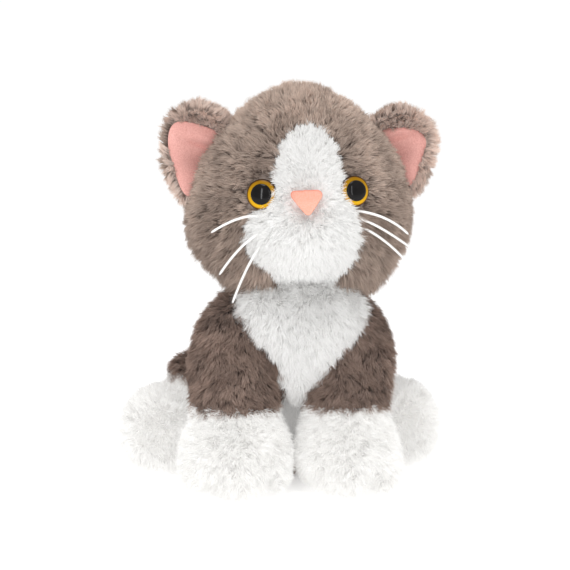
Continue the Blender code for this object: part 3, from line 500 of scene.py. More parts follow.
def eye_frames():
    """Each eye's middle, its axis out of the head, and its radius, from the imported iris."""
    found = {}
    for side in SIDES:
        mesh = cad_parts[f"{side}_eye_iris"].data
        points = np.array([v.co for v in mesh.vertices])
        centre = (points.min(axis=0) + points.max(axis=0)) / 2
        _, _, axes = np.linalg.svd(points - points.mean(axis=0))
        axis = axes[2] if axes[2][1] < 0 else -axes[2]
        radius = np.linalg.norm(across(points - centre, axis), axis=1).max()
        found[side] = (Vector(centre), Vector(axis), float(radius))
    return found

def across(offsets, axis):
    """The part of each offset that is square to the axis."""
    axis = np.array(axis)
    return offsets - (offsets @ axis)[:, None] * axis

EYES = eye_frames()

def eye_distance(spots):
    """How far each spot lies from the nearer eye's rim, across the eye's axis."""
    gaps = []
    for centre, axis, radius in EYES.values():
        offset = spots - np.array(centre)
        gap = np.linalg.norm(across(offset, axis), axis=1) - radius
        gaps.append(np.where(np.linalg.norm(offset, axis=1) < 30 * MM, gap, 1.0))
    return np.min(gaps, axis=0)

def off_nose(spots):
    margin = 2 * MM
    low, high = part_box("nose")
    x, y, z = spots.T
    beside = (x <= low[0] + margin) | (x >= high[0] - margin)
    beside |= (z <= low[2] + margin) | (z >= high[2] - margin)
    return beside | (y > -30 * MM)

def off_nose_and_neck(spots):
    return off_nose(spots) & (np.linalg.norm(spots - np.array(NECK), axis=1) > SOCKET_RADIUS)

def face_keep(spots):
    return off_nose_and_neck(spots) & (eye_distance(spots) > -0.8 * MM)

def head_keep(spots):
    return off_nose_and_neck(spots) & (eye_distance(spots) > 1.0 * MM)

def head_length(spots):
    """Longer hair on the jowls, shorter round the eyes."""
    z = to_head(spots)[:, 2]
    length = 7.5 * MM + 3.5 * MM * smoothstep(26 * MM, 2 * MM, z)
    near_eye = smoothstep(7 * MM, 1 * MM, eye_distance(spots))
    return length * (1 - 0.45 * near_eye)

def head_painted_light_and_shade(spots):
    """Painted light on the crown, and painted shade that deepens towards the jowls."""
    z = to_head(spots)[:, 2]
    return 0.25 - 0.4 * smoothstep(82 * MM, 60 * MM, z) - 0.15 * smoothstep(50 * MM, 20 * MM, z)

def face_length(spots):
    """Longer hair on the muzzle and at the eyes' rims, shorter round the nose."""
    z = to_head(spots)[:, 2]
    length = 5.0 * MM + 1.5 * MM * smoothstep(34 * MM, 20 * MM, z)
    near_eye = smoothstep(6 * MM, 1 * MM, eye_distance(spots))
    near_nose = smoothstep(14 * MM, 5 * MM, np.linalg.norm(spots - np.array(NOSE_CENTRE), axis=1))
    return length * (1 + 0.25 * near_eye) * (1 - 0.5 * near_nose)

def head_shape(points, normals):
    """Fuller cheeks, and a jowl that hangs on either side of the chin."""
    local = to_head(points)
    x, _, z = local.T
    sideways = np.array(HEAD_PLACE.to_3x3())[:, 0]
    cheeks = smoothstep(25 * MM, 50 * MM, np.abs(x)) * bell(z, 22 * MM, 26 * MM)
    sway = np.where(x > 0, 0.6 * MM, 2.6 * MM) * cheeks * np.sign(x)
    points = points + sway[:, None] * sideways
    for centre in JOWLS:
        near = np.exp(-((local - centre) ** 2).sum(axis=1) / JOWL_SPREAD**2)
        points = points + near[:, None] * (normals * 3.0 + np.array([0.0, -1.5, -4.5])) * MM
    return points

def make_head():
    irises = [f"{side}_eye_iris" for side in SIDES]
    washers = [f"{side}_eye_washer" for side in SIDES]
    panels = ["head_left_panel", "head_right_panel", "face_panel", "head_stuffing"]
    form = Form("head_backing", panels + irises, passes=14, inset=3.2 * MM, shape=head_shape)
    backing(form, "head_backing", "head", panels + washers, [HEAD_BACKING, WHITE_BACKING], face_region)

    def quarter(sign, is_front):
        def region(spots, normals):
            x, y, _ = to_head(spots).T
            there = ((y < 0) == is_front) & (x * sign > 0)
            return np.where(there, -face_region(spots, normals), -1)
        return region

    for side, sign in SIDES.items():
        for part, is_front in (("front", True), ("back", False)):
            pile = cover(
                f"head_{side}_pile_{part}", form, quarter(sign, is_front), GREY_PILE, head_comb, 0.75,
                head_length, 100, keep=head_keep, tone=head_painted_light_and_shade,
            )
            attach(pile, "head")
    face = cover(
        "face_pile", form, face_region, WHITE_PILE, head_comb, 0.7, face_length, 200,
        spacing=1.7 * MM, keep=face_keep, clump=0.4, wild=0.3,
    )
    attach(face, "head")
    return form

# -------- eyes, nose and whiskers

NOSE_LOW, NOSE_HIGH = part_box("nose")
NOSE_CENTRE = (NOSE_LOW + NOSE_HIGH) / 2
EYE_SINK = 1.8 * MM  # how far the iris's back lies behind its middle
IRIS_SHOULDER = 1.2 * MM  # the height at which the iris starts to dome over
IRIS_DOME = 2.4 * MM
IRIS_INNER = 4.4 * MM  # the radius of its hole
IRIS_LIP = 3.1 * MM  # the height of the hole's edge
PUPIL_RADIUS = 5.1 * MM
PUPIL_NECK = 4.3 * MM
PUPIL_BACK = 1.0 * MM
PUPIL_EDGE = 3.5 * MM
PUPIL_DOME = 1.4 * MM

def lathe(name, profile, place, segments=64):
    """A (radius, height) profile turned about the Z axis, then put in place."""
    data = bmesh.new()
    points = [data.verts.new((radius, 0, height)) for radius, height in profile]
    edges = [data.edges.new(pair) for pair in zip(points, points[1:])]
    bmesh.ops.spin(
        data, geom=points + edges, cent=(0, 0, 0), axis=(0, 0, 1), angle=math.tau, steps=segments,
        use_merge=True,
    )
    bmesh.ops.remove_doubles(data, verts=data.verts, dist=1e-6)
    bmesh.ops.recalc_face_normals(data, faces=data.faces)
    data.verts.index_update()
    faces = []
    for face in data.faces:
        ring = [vert.index for vert in face.verts]
        first = ring.index(min(ring))
        faces.append(ring[first:] + ring[:first])
    mesh = bpy.data.meshes.new(name)
    # Sorted, because spin leaves the faces in another order on each run, and the pile's draws follow it
    mesh.from_pydata([tuple(vert.co) for vert in data.verts], [], sorted(faces))
    data.free()
    mesh.shade_smooth()
    mesh.transform(place)
    return link(name, mesh)

def eye_materials():
    amber, shader = new_material("amber_iris", 0.25, specular=0.12)
    tree = amber.node_tree
    rings = ramp(
        tree,
        [(0.0, (0.22, 0.10, 0.004)), (0.22, (0.74, 0.435, 0.008)), (0.66, (0.66, 0.36, 0.006)),
         (0.84, (0.10, 0.04, 0.006)), (1.0, (0.02, 0.01, 0.006))],
        point_value(tree, "from_axis"),
    )
    # Painted shade over the top of the iris, under the brow, and painted light on its lower part
    painted_shade_and_light = ramp(tree, [(0.15, (1.15, 1.1, 1.0)), (0.9, (0.45, 0.38, 0.35))], point_value(tree, "upward"))
    shaded = mixed(tree, "MULTIPLY", 1.0, rings, painted_shade_and_light)
    tree.links.new(mixed(tree, "OVERLAY", 0.12, shaded, noise(tree, 700.0)), shader.inputs["Base Color"])
    black, shader = new_material("black_pupil", 0.08, specular=0.22)
    tree = black.node_tree
    grain = ramp(tree, [(0.3, (0.002, 0.0015, 0.0015)), (0.7, (0.006, 0.005, 0.005))], noise(tree, 300.0))
    tree.links.new(grain, shader.inputs["Base Color"])
    return amber, black

def set_point_values(mesh, name, values):
    layer = mesh.attributes.new(name, "FLOAT", "POINT")
    layer.data.foreach_set("value", values.astype(np.float32))

def make_eyes():
    amber, black = eye_materials()
    quarter = [math.pi / 2 * k / 10 for k in range(11)]
    for side, (centre, axis, radius) in EYES.items():
        back = centre - axis * EYE_SINK
        place = Matrix.Translation(back) @ axis.to_track_quat("Z", "Y").to_matrix().to_4x4()
        rim = [(radius - 0.5 * MM, 0.0), (radius, 0.6 * MM)]
        dome = [(radius * math.cos(a), IRIS_SHOULDER + IRIS_DOME * math.sin(a)) for a in quarter[:8]]
        dome = [(r, height) for r, height in dome if r > IRIS_INNER]
        hole = [(IRIS_INNER, IRIS_LIP), (IRIS_INNER, 0.0)]
        iris = lathe(f"{side}_iris", rim + dome + hole + rim[:1], place)
        offsets = across(np.array([v.co for v in iris.data.vertices]) - np.array(back), axis)
        share = (np.linalg.norm(offsets, axis=1) - IRIS_INNER) / (radius - IRIS_INNER)
        set_point_values(iris.data, "from_axis", np.clip(share, 0, 1))
        set_point_values(iris.data, "upward", 0.5 + offsets[:, 2] / radius / 2)
        iris.data.materials.append(amber)

        shank = [
            (0.0, PUPIL_BACK), (PUPIL_NECK, PUPIL_BACK), (PUPIL_NECK, IRIS_LIP), (PUPIL_RADIUS, PUPIL_EDGE),
        ]
        base = PUPIL_EDGE + 0.1 * MM
        dome = [(PUPIL_RADIUS * math.cos(a), base + PUPIL_DOME * math.sin(a)) for a in quarter[1:-1]]
        pupil = lathe(f"{side}_pupil", shank + dome + [(0.0, base + PUPIL_DOME)], place)
        pupil.data.materials.append(black)
        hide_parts(f"{side}_eye_iris")
        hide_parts(f"{side}_eye_pupil")
        attach(iris, "head")
        attach(pupil, "head")

def make_nose():
    """The flocked pad, with painted shade where it curves away from the front down to its sewn edge."""
    form = Form("nose_pad", ["nose"], voxel=0.5 * MM, passes=5, inset=0.1 * MM)
    pad = link("nose_pad", form.mesh)
    material = cloth_material("pink_flock", (0.86, 0.42, 0.31), (0.94, 0.49, 0.385), 1500.0, 0.6)
    tree = material.node_tree
    shader = tree.nodes["Principled BSDF"]
    shader.inputs["Sheen Weight"].default_value = 0.1
    # Painted shade where the pad turns away from the front, deepest at its rim
    set_point_values(pad.data, "edge", smoothstep(-0.97, -0.55, form.normals[:, 1]))
    turned_away_shade = ramp(tree, [(0.0, WHITE), (1.0, (0.88, 0.66, 0.64))], point_value(tree, "edge"))
    flock = shader.inputs["Base Color"].links[0].from_socket
    tree.links.new(mixed(tree, "MULTIPLY", 1.0, flock, turned_away_shade), shader.inputs["Base Color"])
    pad.data.materials.append(material)
    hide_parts("nose")
    attach(pad, "head")

# Root, bend and tip of each whisker as (x, z) from the neck point, and how far ahead the tip stands, in mm
WHISKERS = {
    "left_whisker_upper": ((20.6, 33.6), (35.8, 29.8), (47.6, 21.5), 56),
    "left_whisker_middle": ((22, 30), (33.2, 25.4), (49, 14.5), 54),
    "left_whisker_lower": ((23, 26), (34, 20), (46, 8.8), 52),
    "right_whisker_upper": ((-22, 32), (-33.6, 32), (-47.7, 26), 56),
    "right_whisker_middle": ((-21.8, 25.2), (-33, 18.2), (-44.3, 5.2), 55),
    "right_whisker_lower": ((-21.9, 20.2), (-30, 8.8), (-38.4, -8.8), 55),
}

WHISKER_STEPS = 28
WHISKER_ROOT_RADIUS = 0.68 * MM
WHISKER_TAPER = 0.12 * MM

def tube(name, path, radii, sides=10):
    """A round thread along a path, with flat ends. Its rings don't twist from one to the next."""
    data = bmesh.new()
    rings = []
    first = (path[1] - path[0]).orthogonal()
    for k, (point, radius) in enumerate(zip(path, radii)):
        ahead = (path[min(k + 1, len(path) - 1)] - path[max(k - 1, 0)]).normalized()
        first = (first - ahead * first.dot(ahead)).normalized()
        second = ahead.cross(first)
        ring = []
        for j in range(sides):
            angle = math.tau * j / sides
            outward = first * math.cos(angle) + second * math.sin(angle)
            ring.append(data.verts.new(point + outward * radius))
        rings.append(ring)
    for low, high in zip(rings, rings[1:]):
        for j in range(sides):
            data.faces.new((low[j], low[(j + 1) % sides], high[(j + 1) % sides], high[j]))
    data.faces.new(reversed(rings[0]))
    data.faces.new(rings[-1])
    mesh = bpy.data.meshes.new(name)
    data.to_mesh(mesh)
    data.free()
    mesh.shade_smooth()
    return link(name, mesh)

def make_whiskers(head):
    """Six stiff threads. Each starts inside the muzzle and bends once on its way to the tip."""
    thread = cloth_material("waxed_thread", (0.88, 0.87, 0.85), (0.97, 0.97, 0.96), 2500.0, 0.2, 0.5)
    tree = head.tree()
    forward = HEAD_PLACE.to_3x3() @ Vector((0, 1, 0))
    for name, (root, bend, tip, reach) in WHISKERS.items():
        before = HEAD_PLACE @ Vector((root[0] * MM, -0.2, root[1] * MM))
        start = HEAD_PLACE.inverted() @ tree.ray_cast(before, forward)[0]
        end = Vector((tip[0] * MM, -reach * MM, tip[1] * MM))
        middle = Vector((bend[0] * MM, (start.y - reach * MM) / 2, bend[1] * MM))
        control = 2 * middle - (start + end) / 2
        path, radii = [], []
        for k in range(WHISKER_STEPS + 1):
            t = k / WHISKER_STEPS
            path.append(HEAD_PLACE @ ((1 - t) ** 2 * start + 2 * t * (1 - t) * control + t**2 * end))
            radii.append(WHISKER_ROOT_RADIUS - WHISKER_TAPER * t)
        radii[-1] /= 2
        whisker = tube(f"{name}_thread", path, radii)
        whisker.data.materials.append(thread)
        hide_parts(name)
        attach(whisker, "head")

# -------- ears

# The left ear's base line, from the neck point; the right ear mirrors it
EAR_INNER_TOP = np.array([33.0, -2.0, 79.0]) * MM
EAR_OUTER_LOW = np.array([56.0, -2.0, 38.0]) * MM
EAR_MIDDLE = (EAR_INNER_TOP + EAR_OUTER_LOW) / 2
EAR_ALONG = unit(EAR_OUTER_LOW - EAR_INNER_TOP)
EAR_OUTWARD = unit(np.array([-EAR_ALONG[2], -0.12, EAR_ALONG[0]]))
EAR_HALF_BASE = 22.0 * MM
EAR_HEIGHT = 29.0 * MM
EAR_CUP = 8.0 * MM  # how far the base's ends stand ahead of its middle
EAR_CURL = 3.0 * MM  # how far the tip leans ahead
# Each ear's upper corner is shorter along the base and lower than the other corner by these shares
EAR_TRIM = {"left": 0.32, "right": 0.12}
EAR_DIP = {"left": 0.30, "right": 0.05}
# Each lining's outline as (along the base, out from the head), going round it, in mm
LINING_OUTLINE = {
    "right": [(-12, -2), (-12, 9), (-9, 22), (-3, 25), (6.5, 21), (15, 13), (25, 2), (21, -4), (4, -5)],
    "left": [(-11, -2), (-8, 8), (-1, 18), (7, 20), (14, 12), (22, 3), (22, -3), (4, -5)],
}
LINING_RINGS = 14
LINING_GAP = 2.6 * MM  # from the ear's sheet to the middle of the lining
LINING_HALF = 1.3 * MM
LINING_PUFF = 0.9 * MM
FOLD_DEPTH = 2.5 * MM
RIDGE_HEIGHT = 1.8 * MM
PIT_DEPTH = 3.2 * MM

def rounded(outline, passes=3):
    """An outline in mm with its corners cut passes times, in metres."""
    points = np.array(outline, dtype=float)
    for _ in range(passes):
        following = np.roll(points, -1, axis=0)
        points = np.stack((points * 0.75 + following * 0.25, points * 0.25 + following * 0.75), axis=1)
        points = points.reshape(-1, 2)
    return points * MM

def ear_point(sign, along, out, forward):
    """A point over the cupped sheet of the ear, in the row frame."""
    rise = np.clip((out + 4 * MM) / EAR_HEIGHT, 0, 1.2)
    cup = EAR_CUP * (along / EAR_HALF_BASE) ** 2 + EAR_CURL * rise**2
    spot = EAR_MIDDLE + EAR_ALONG * along[:, None] + EAR_OUTWARD * out[:, None]
    spot[:, 1] -= cup + forward
    spot[:, 0] *= sign
    place = np.array(HEAD_PLACE)
    return spot @ place[:3, :3].T + place[:3, 3]

def lining_front(along, out, edge):
    """How far the lining's front stands ahead: puffed, with a fold, its ridge and a pit by the head."""
    near_head = smoothstep(20 * MM, 6 * MM, out)
    slanted = along - 0.2 * out
    fold = FOLD_DEPTH * bell(slanted, -3.5 * MM, 1.5 * MM) * near_head
    ridge = RIDGE_HEIGHT * bell(slanted, -7.5 * MM, 3.5 * MM) * near_head
    pit = PIT_DEPTH * bell(along, 6.5 * MM, 6 * MM) * bell(out, 3 * MM, 6.5 * MM)
    return LINING_GAP + (LINING_HALF + LINING_PUFF - fold + ridge) * edge - pit

def make_lining(side, sign):
    """The pink velour inside the ear: rings from the middle out over the front, and back in behind."""
    outline = rounded(LINING_OUTLINE[side])
    centre = outline.mean(axis=0)
    front, rear = [], []
    for k in range(1, LINING_RINGS + 1):
        share = k / LINING_RINGS
        edge = 1 - share**4
        along, out = (centre + (outline - centre) * share).T
        front.append(ear_point(sign, along, out, lining_front(along, out, edge)))
        rear.append(ear_point(sign, along, out, LINING_GAP - LINING_HALF * edge))
    lining = link(f"{side}_lining", loft(f"{side}_lining", front + rear[-2::-1]))
    soften = lining.modifiers.new("soften", "SUBSURF")
    soften.levels = soften.render_levels = 1
    lining.data.materials.append(PINK_VELOUR)
    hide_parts(f"{side}_ear_lining")
    attach(lining, f"{side}_ear")

def lining_span(side, out):
    """Where the lining starts and ends along the base, at each height out from the head."""
    outline = rounded(LINING_OUTLINE[side], passes=5)
    levels = np.linspace(outline[:, 1].min(), outline[:, 1].max(), 40)
    lows, highs = [], []
    for level in levels:
        near = np.abs(outline[:, 1] - level) < 0.8 * MM
        lows.append(outline[near, 0].min())
        highs.append(outline[near, 0].max())
    low, high = np.interp(out, levels, lows), np.interp(out, levels, highs)
    beyond = (out < levels[0]) | (out > levels[-1])
    return np.where(beyond, 1.0, low), np.where(beyond, -1.0, high)

def make_ear(side, sign):
    body = f"{side}_ear"
    mirror = np.array([sign, 1, 1])
    turn = np.array(HEAD_PLACE.to_3x3())
    along_axis, out_axis = (EAR_ALONG * mirror) @ turn.T, (EAR_OUTWARD * mirror) @ turn.T

    def ear_place(spots):
        """Each spot's place along the ear's base, and out from it."""
        local = to_head(spots) * mirror - EAR_MIDDLE
        return local @ EAR_ALONG, local @ EAR_OUTWARD

    def shape(points, normals):
        along, out = ear_place(points)
        drop = np.maximum(-along, 0) * EAR_TRIM[side]
        dip = np.maximum(out - 8 * MM, 0) * smoothstep(6 * MM, -10 * MM, along) * EAR_DIP[side]
        return points + drop[:, None] * along_axis - dip[:, None] * out_axis

    def rim(spots, normals):
        """The front of the ear beside its lining."""
        along, out = ear_place(spots)
        low, high = lining_span(side, out)
        over_lining = np.minimum(along - low, high - along)
        return np.where((normals[:, 1] < 0.3) & (over_lining < 0.8 * MM), 1.0, -1.0)

    def rear(spots, normals):
        return normals[:, 1] - 0.3

    def comb(spots):
        """Out towards the ear's edge on every side."""
        along, out = ear_place(spots)
        away = unit(np.stack((along - 2 * MM, out - 4 * MM), axis=1))
        return along_axis * away[:, :1] + out_axis * away[:, 1:] + np.array([0.0, -0.35, 0.0])

    def length(spots):
        _, out = ear_place(spots)
        return 7.0 * MM + 1.5 * MM * smoothstep(10 * MM, 24 * MM, out)

    node = f"{side}_ear_back"
    form = Form(f"{side}_ear_backing", [node], voxel=1.0 * MM, passes=8, inset=0.0, shape=shape)
    backing(form, f"{side}_ear_backing", body, [node], [EAR_BACKING])
    make_lining(side, sign)
    for part, region, material in (("rim", rim, EAR_LIT_PILE), ("rear", rear, GREY_PILE)):
        pile = cover(
            f"{side}_ear_{part}_pile", form, region, material, comb, 0.95, length, 300 + 10 * sign,
            spacing=1.5 * MM, width=0.27 * MM, clump=0.6, wild=0.12,
        )
        attach(pile, body)

# -------- torso and neck

# The white bib's left and right edge by height, down to the strip that runs between the front legs
BIB_LOW_X = curve_through(
    (40, -4), (46, -2), (50, -1), (56, -4), (66, -7), (75, -14), (83, -21), (88, -26), (95, -22), (104, -12),
)
BIB_HIGH_X = curve_through((40, 8), (46, 8), (53, 11), (70, 22), (76, 33), (90, 36), (97, 31), (104, 22))
BIB_BOTTOM = 12 * MM
BIB_REAR = -17 * MM
# The breast that stands out between the legs: its half width and its front by height
CHEST_HALF_WIDTH = curve_through(
    (44, 4), (48, 8), (54, 13), (62, 18), (70, 24), (80, 30), (88, 32), (96, 28), (104, 19), (107, 10),
)
CHEST_FRONT = curve_through(
    (44, -34), (48, -38), (54, -42), (62, -45.5), (72, -48), (82, -48), (92, -44), (100, -36), (107, -24),
)
CHEST_BOTTOM, CHEST_TOP = 44 * MM, 107 * MM
CHEST_X, CHEST_Y = 6 * MM, -22 * MM
CHEST_REAR_DEPTH = 14 * MM
CHEST_SQUARENESS = 2.6  # 2 is an ellipse
CHEST_RINGS, CHEST_RING_POINTS = 40, 72
TORSO_MIDDLE = 4 * MM
BASE_HEIGHT = 5 * MM
# The neck's wad as (radius, height over the neck point), in mm
NECK_PROFILE = [(0, -12), (21, -12), (27, -8), (27.5, -2), (23, 4), (15, 8), (0, 9)]

def bib_region(spots, normals):
    x, y, z = spots.T
    inside = np.minimum(np.minimum(x - BIB_LOW_X(z), BIB_HIGH_X(z) - x), z - BIB_BOTTOM)
    return np.minimum(inside, BIB_REAR - y)

def beside_bib(spots, normals):
    return -bib_region(spots, normals)

def chest_mesh():
    """The puffed breast, from its tip up to the throat."""
    power = CHEST_SQUARENESS
    rings = []
    for z in np.linspace(CHEST_BOTTOM, CHEST_TOP, CHEST_RINGS):
        half, front_depth = CHEST_HALF_WIDTH(z), CHEST_Y - CHEST_FRONT(z)
        ring = []
        for angle in np.linspace(0, math.tau, CHEST_RING_POINTS, endpoint=False):
            side, ahead = math.cos(angle), math.sin(angle)
            scale = (abs(side) ** power + abs(ahead) ** power) ** (-1 / power)
            depth = CHEST_REAR_DEPTH if ahead > 0 else front_depth
            ring.append(Vector((CHEST_X + half * side * scale, CHEST_Y + depth * ahead * scale, z)))
        rings.append(ring)
    return loft("chest_backing", rings)

def make_torso():
    nodes = ["torso_left_panel", "torso_right_panel", "base_panel", "torso_stuffing", "pellet_pouch"]
    cloth = [GREY_BACKING, WHITE_BACKING]
    form = Form("torso_backing", nodes + ["chest_bib"], passes=16)
    backing(form, "torso_backing", "torso", nodes, cloth, bib_region)
    chest = form_of(chest_mesh())
    backing(chest, "chest_backing", "torso", ["chest_bib"], cloth, bib_region)

    def flank(sign):
        def region(spots, normals):
            there = (spots[:, 0] * sign > TORSO_MIDDLE * sign) & (spots[:, 2] >= BASE_HEIGHT)
            return np.where(there, beside_bib(spots, normals), -1)
        return region

    def bib_tip(spots, normals):
        return np.minimum(bib_region(spots, normals), CHEST_BOTTOM + 3 * MM - spots[:, 2])

    def base(spots, normals):
        return BASE_HEIGHT - spots[:, 2]

    for side, sign in SIDES.items():
        pile = cover(f"torso_{side}_pile", form, flank(sign), BODY_PILE, down, 0.9, 8.5 * MM, 400 + sign)
        attach(pile, "torso")
    bib = cover(
        "chest_bib_pile", chest, bib_region, WHITE_PILE, down, 0.9, 7.5 * MM, 420, spacing=1.75 * MM,
        clump=0.45, wild=0.26,
    )
    attach(bib, "torso")
    tip = cover(
        "bib_tip_pile", form, bib_tip, WHITE_PILE, down, 0.9, 6 * MM, 422, spacing=1.75 * MM, clump=0.45,
    )
    attach(tip, "torso")
    sides = cover("chest_side_pile", chest, beside_bib, BODY_PILE, down, 0.9, 8 * MM, 425)
    attach(sides, "torso")
    under = cover("base_pile", form, base, BODY_PILE, down, 0.2, 3.2 * MM, 430)
    attach(under, "torso")

def make_neck():
    """The pile that closes the seam between the head and the torso, over the neck's firm wad."""
    profile = [(radius * MM, height * MM) for radius, height in NECK_PROFILE]
    turned = lathe("neck_backing", profile, Matrix.Translation(NECK), 48)
    form = form_of(turned.data)
    bpy.data.objects.remove(turned)
    blend = ("torso", "neck", NECK - Vector((0, 0, 10 * MM)), NECK)

    def throat(spots, normals):
        return np.minimum(-10 * MM - spots[:, 1], 17 * MM - np.abs(spots[:, 0] - 6 * MM))

    def nape(spots, normals):
        return -throat(spots, normals)

    backing(form, "neck_backing", blend, ["neck_stuffing"], [GREY_BACKING, WHITE_BACKING], throat)
    grey = cover("neck_grey_pile", form, nape, BODY_PILE, down, 0.6, 7 * MM, 450)
    attach(grey, blend)
    white = cover("neck_white_pile", form, throat, WHITE_PILE, down, 0.6, 7 * MM, 450)
    attach(white, blend)

# -------- legs and tail

TOE_CLEFTS = {"right": (-44.5 * MM, -14 * MM), "left": (5.5 * MM, 35 * MM)}  # where they are along X
SHOULDER_BLEND = Vector((0, 4, 16)) * MM  # half of the way over which a sleeve turns from torso to leg
ANKLE_X, ANKLE_Y = 48 * MM, 14 * MM
ANKLE_ANGLE = math.radians(-42)
FOOT_TOP = 46 * MM

def make_front_leg(side, sign):
    body = f"{side}_front_leg"
    nodes = [f"{side}_front_sleeve", f"{side}_front_paw", f"{side}_front_leg_stuffing"]
    shoulder = SHOULDER[side]
    blend = ("torso", body, shoulder + SHOULDER_BLEND, shoulder - SHOULDER_BLEND)

    def shape(points, normals):
        """A fuller outer side to the sleeve, a slimmer cuff and two clefts between the toes."""
        x, y, z = points.T
        outer = smoothstep(0, 12 * MM, (x - shoulder.x) * sign) * bell(z, 62 * MM, 18 * MM)
        points = points + (outer * 4.5 * MM * sign)[:, None] * np.array([1.0, 0.0, 0.0])
        points[:, 2] += 0.3 * np.maximum(z - 70 * MM, 0)
        cuff = bell(z, 36 * MM, 8 * MM)[:, None] * normals * np.array([-2.2, 0.5, 0.0]) * MM
        low_front = smoothstep(15 * MM, 5 * MM, z) * smoothstep(-48 * MM, -60 * MM, y)
        for cleft in TOE_CLEFTS[side]:
            depth = bell(x, cleft, 3.4 * MM) * low_front
            points = points + depth[:, None] * np.array([0.0, 8.0, 6.0]) * MM
        return points + cuff

    def paw(spots, normals):
        return CUFF_Z - spots[:, 2]

    def sleeve(spots, normals):
        return -np.maximum(paw(spots, normals), bib_region(spots, normals))

    def bib(spots, normals):
        return np.minimum(-paw(spots, normals), bib_region(spots, normals))

    def paw_comb(spots):
        """Away from a point over the ankle, and down."""
        centre = np.array([sign * 28.0, -45.0, 48.0]) * MM
        return unit(spots - centre) + np.array([0, -0.2, -0.4])

    def paw_length(spots):
        return 7.5 * MM - 5.0 * MM * smoothstep(10 * MM, 2 * MM, spots[:, 2])

    form = Form(f"{side}_front_leg_backing", nodes, passes=10, shape=shape)
    backing(form, f"{side}_front_leg_backing", blend, nodes, [GREY_BACKING, WHITE_BACKING], paw)
    pile = cover(
        f"{side}_sleeve_pile", form, sleeve, BODY_PILE, down, 0.95, 8 * MM, 500 + sign, spacing=2.0 * MM,
        width=0.32 * MM, clump=0.65,
    )
    attach(pile, blend)
    pile = cover(
        f"{side}_shoulder_bib_pile", form, bib, WHITE_PILE, down, 0.8, 8 * MM, 520 + sign,
        spacing=1.8 * MM, clump=0.45,
    )
    attach(pile, blend)
    pile = cover(
        f"{side}_paw_lit_pile", form, paw, PAW_LIT_PILE, paw_comb, 0.65, paw_length, 540 + sign,
        spacing=1.75 * MM, clump=0.45, wild=0.3,
    )
    attach(pile, body)

def make_hind_leg(side, sign):
    body = f"{side}_hind_leg"
    nodes = [f"{side}_{part}" for part in ("haunch", "hind_foot", "hind_sole", "hind_leg_stuffing")]
    low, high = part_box(f"{side}_hind_sole")
    sole_centre = np.array((low + high) / 2)

    def shape(points, normals):
        """A fuller thigh above the foot."""
        x, _, z = points.T
        thigh = bell(z, 58 * MM, 14 * MM) * smoothstep(34 * MM, 46 * MM, x * sign)
        return points + (thigh * 6 * MM * sign)[:, None] * np.array([1.0, 0.0, 0.0])

    def foot(spots, normals):
        """Above zero on the foot's side of the ankle seam."""
        outward = spots[:, 0] * sign - ANKLE_X
        before = outward * math.cos(ANKLE_ANGLE) + (spots[:, 1] - ANKLE_Y) * math.sin(ANKLE_ANGLE)
        return np.minimum(before, FOOT_TOP - spots[:, 2])

    def haunch(spots, normals):
        return -foot(spots, normals)

    def foot_comb(spots):
        return unit(spots - sole_centre) + np.array([0.0, -0.3, -0.3])

    def foot_length(spots):
        """Short over the sole's panel and near the floor."""
        sole = smoothstep(17 * MM, 13 * MM, np.linalg.norm((spots - sole_centre)[:, [0, 2]], axis=1))
        sole = sole * (spots[:, 1] < sole_centre[1] + 6 * MM)
        floor = smoothstep(8 * MM, 1 * MM, spots[:, 2])
        return (7.0 * MM - 3.0 * MM * sole) * (1 - 0.6 * floor)

    form = Form(f"{side}_hind_leg_backing", nodes, inset=2.6 * MM, shape=shape)
    backing(form, f"{side}_hind_leg_backing", body, nodes, [GREY_BACKING, WHITE_BACKING], foot)
    pile = cover(f"{side}_haunch_pile", form, haunch, BODY_PILE, down, 0.9, 8 * MM, 600 + sign)
    attach(pile, body)
    pile = cover(
        f"{side}_foot_pile", form, foot, PAW_LIT_PILE, foot_comb, 0.6, foot_length, 620 + sign,
        spacing=1.9 * MM, clump=0.45, wild=0.3,
    )
    attach(pile, body)

def make_tail():
    nodes = ["tail_skin", "tail_stuffing"]
    form = Form("tail_backing", nodes, voxel=1.5 * MM, passes=8, inset=2.0 * MM)
    backing(form, "tail_backing", "tail", nodes, [GREY_BACKING])

    def everywhere(spots, normals):
        return np.ones(len(spots))

    def comb(spots):
        return np.tile([0.25, 1.0, -0.15], (len(spots), 1))

    pile = cover("tail_pile", form, everywhere, BODY_PILE, comb, 0.9, 7.5 * MM, 700)
    attach(pile, "tail")

# -------- stage

FLOOR_HALF = 6.0
FLOOR_DROP = 0.2 * MM
FLOOR_GLOW = 0.33  # lifts the floor to plain white while the white pile keeps its shading
WORLD_STRENGTH = 0.72
LIGHT_TARGET = Vector((0, 0, 0.1))
# Each light's place, width, height and power, in metres and watts
LIGHTS = {
    "key": ((-0.1, -0.3, 1.3), 0.6, 0.6, 5.3),
    "left_strip": ((-0.5, -1.05, 0.42), 0.08, 0.75, 1.6),
    "right_strip": ((0.35, -1.1, 0.42), 0.08, 0.75, 1.2),
}
VIEW_AZIMUTH = math.radians(-7.0)
VIEW_ELEVATION = math.radians(9.0)
VIEW_DISTANCE = 1.25
VIEW_WIDTH = 0.285
VIEW_TARGET = Vector((0.6, -10.0, 96.6)) * MM
SENSOR_WIDTH = 36.0  # the camera's own unit, mm

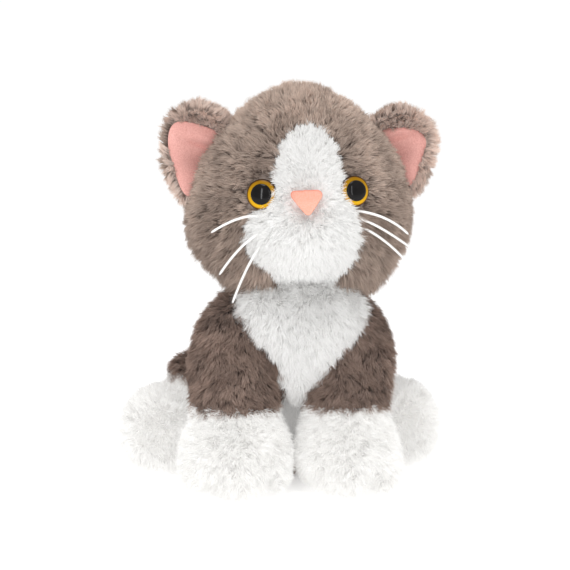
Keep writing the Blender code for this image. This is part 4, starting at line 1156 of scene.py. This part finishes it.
def aim(thing, place, target):
    """Put a light or a camera at place, looking at target."""
    thing.location = place
    thing.rotation_mode = "QUATERNION"
    thing.rotation_quaternion = (target - Vector(place)).to_track_quat("-Z", "Y")

def make_stage():
    data = bmesh.new()
    bmesh.ops.create_grid(data, x_segments=1, y_segments=1, size=FLOOR_HALF)
    mesh = bpy.data.meshes.new("floor")
    data.to_mesh(mesh)
    data.free()
    floor = link("floor", mesh)
    floor.location.z = -FLOOR_DROP
    material, shader = new_material("floor", 0.9, specular=0.1)
    shader.inputs["Base Color"].default_value = (0.97, 0.97, 0.97, 1)
    shader.inputs["Emission Color"].default_value = (*WHITE, 1)
    shader.inputs["Emission Strength"].default_value = FLOOR_GLOW
    floor.data.materials.append(material)

    world = bpy.data.worlds.new("studio")
    world.use_nodes = True
    world.node_tree.nodes["Background"].inputs["Color"].default_value = (*WHITE, 1)
    world.node_tree.nodes["Background"].inputs["Strength"].default_value = WORLD_STRENGTH
    bpy.context.scene.world = world
    for name, (place, width, height, power) in LIGHTS.items():
        light = bpy.data.lights.new(name, "AREA")
        light.shape = "DISK" if width == height else "RECTANGLE"
        light.size = width
        light.size_y = height
        light.energy = power
        aim(link(name, light), place, LIGHT_TARGET)

def make_camera():
    back = Vector((
        math.sin(VIEW_AZIMUTH) * math.cos(VIEW_ELEVATION),
        -math.cos(VIEW_AZIMUTH) * math.cos(VIEW_ELEVATION),
        math.sin(VIEW_ELEVATION),
    ))
    camera = bpy.data.cameras.new("camera")
    camera.sensor_width = SENSOR_WIDTH
    camera.lens = SENSOR_WIDTH * VIEW_DISTANCE / VIEW_WIDTH
    eye = link("camera", camera)
    aim(eye, VIEW_TARGET + back * VIEW_DISTANCE, VIEW_TARGET)
    bpy.context.scene.camera = eye
    bpy.context.scene.view_settings.view_transform = "Standard"
    bpy.context.scene.cycles.diffuse_bounces = 8

# -------- assembly

head_form = make_head()
make_eyes()
make_nose()
make_whiskers(head_form)
for side, sign in SIDES.items():
    make_ear(side, sign)
make_torso()
make_neck()
for side, sign in SIDES.items():
    make_front_leg(side, sign)
    make_hind_leg(side, sign)
make_tail()
make_stage()
make_camera()
